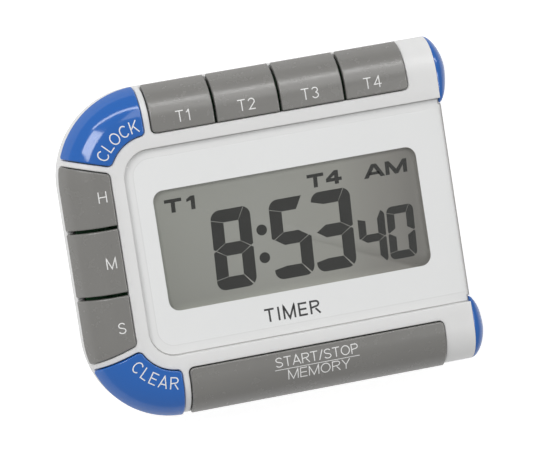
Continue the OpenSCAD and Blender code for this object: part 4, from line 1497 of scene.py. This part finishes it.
def build_dome(key):
    low, high = box_mm("dome_" + key)
    spots = [((low[0] + high[0]) / 2, (low[1] + high[1]) / 2)]
    if key == "start_stop":
        spots = [(x, low[1] + DOME_R) for x in (low[0] + DOME_R, high[0] - DOME_R)]
    solid = Solid()
    for x, y in spots:
        solid.lathe(x, y, DOME, 36, base=low[2])
    ob = make("rubber_dome_" + key, solid, RUBBER, replaces="dome_" + key, angle=50)
    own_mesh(ob)


for key in "t1 t2 t3 t4 hour minute second start_stop clock clear".split():
    build_dome(key)


# ---------------------------------------------------------------- floor, lights, camera
def floor_material():
    """White paper with a little glow, clear from below."""
    net = Net("floor_paper")
    fine = net.noise(scale=30.0)
    colour = net.mix(net.remap(fine, over=MIDDLE), (0.90, 0.90, 0.90), (0.92, 0.92, 0.92))
    paper = net.new("BsdfDiffuse", Color=colour)
    seen = net.new("LightPath").outputs["Is Camera Ray"]
    glow = net.new("Emission", Strength=net.remap(seen, to=(0.12, 0.55)))
    both = net.new("AddShader", i0=paper.outputs[0], i1=glow.outputs[0])
    clear = net.new("BsdfTransparent")
    back = net.new("NewGeometry").outputs["Backfacing"]
    return net.finish(net.new("MixShader", Fac=back, i1=both.outputs[0], i2=clear.outputs[0]))


def build_floor():
    mesh = bpy.data.meshes.new("floor")
    half, z = 4.0, -0.00005  # metres
    corners = [(-half, -half, z), (half, -half, z), (half, half, z), (-half, half, z)]
    mesh.from_pydata(corners, [], [(0, 1, 2, 3)])
    mesh.materials.append(floor_material())
    ob = bpy.data.objects.new("floor", mesh)
    bpy.context.scene.collection.objects.link(ob)


build_floor()


def area_light(name, azimuth, elevation, distance, size, power, glare=False):
    """Area light aimed at the origin; angles in degrees from +x, lengths in metres.
    A glare light shows only in reflections."""
    a, e = math.radians(azimuth), math.radians(elevation)
    way = Vector((math.cos(a) * math.cos(e), math.sin(a) * math.cos(e), math.sin(e)))
    light = bpy.data.lights.new(name, "AREA")
    light.shape = "RECTANGLE"
    light.size, light.size_y = size
    light.energy = power
    ob = bpy.data.objects.new(name, light)
    bpy.context.scene.collection.objects.link(ob)
    ob.location = way * distance
    ob.visible_diffuse = not glare
    ob.rotation_mode = "QUATERNION"
    ob.rotation_quaternion = way.to_track_quat("Z", "Y")


area_light(
    "top_box", azimuth=76, elevation=41, distance=0.75, size=(1.4, 0.07), power=2.1, glare=True
)
area_light("over_head", azimuth=60, elevation=52, distance=0.9, size=(0.5, 0.5), power=1.3)
area_light("left_window", azimuth=139, elevation=48, distance=0.75, size=(0.26, 0.35), power=1.9)
area_light(
    "right_spot", azimuth=-9, elevation=62, distance=0.8, size=(0.16, 0.15), power=0.65, glare=True
)

scene = bpy.context.scene
world = bpy.data.worlds.new("studio")
scene.world = world
world.use_nodes = True
background = world.node_tree.nodes["Background"]
background.inputs["Color"].default_value = (1, 1, 1, 1)
background.inputs["Strength"].default_value = 0.52
scene.view_settings.view_transform = "Standard"
scene.view_settings.look = "None"
scene.view_settings.exposure = 0.0


def rotation(axis, degrees):
    """Rotation matrix about axis 0, 1 or 2."""
    c, s = math.cos(math.radians(degrees)), math.sin(math.radians(degrees))
    i, j = (axis + 1) % 3, (axis + 2) % 3
    matrix = np.eye(3)
    matrix[i, i] = matrix[j, j] = c
    matrix[j, i], matrix[i, j] = s, -s
    return matrix


def build_camera():
    camera = bpy.data.cameras.new("camera")
    camera.sensor_width = 36.0
    camera.lens = 300.0
    camera.clip_start, camera.clip_end = 0.05, 20
    ob = bpy.data.objects.new("camera", camera)
    scene.collection.objects.link(ob)
    turn = rotation(2, 10.248) @ rotation(1, 12.985) @ rotation(0, 6.376)  # world to camera
    target = np.array([5.052, -0.761, -986.118])  # the window's centre in the camera's axes
    position = -turn.T @ target + (WINDOW_X, 0, Z_PANEL)
    ob.matrix_world = (
        Matrix.Translation(Vector(position) / MM) @ Matrix(turn.T.tolist()).to_4x4()
    )
    scene.camera = ob


build_camera()
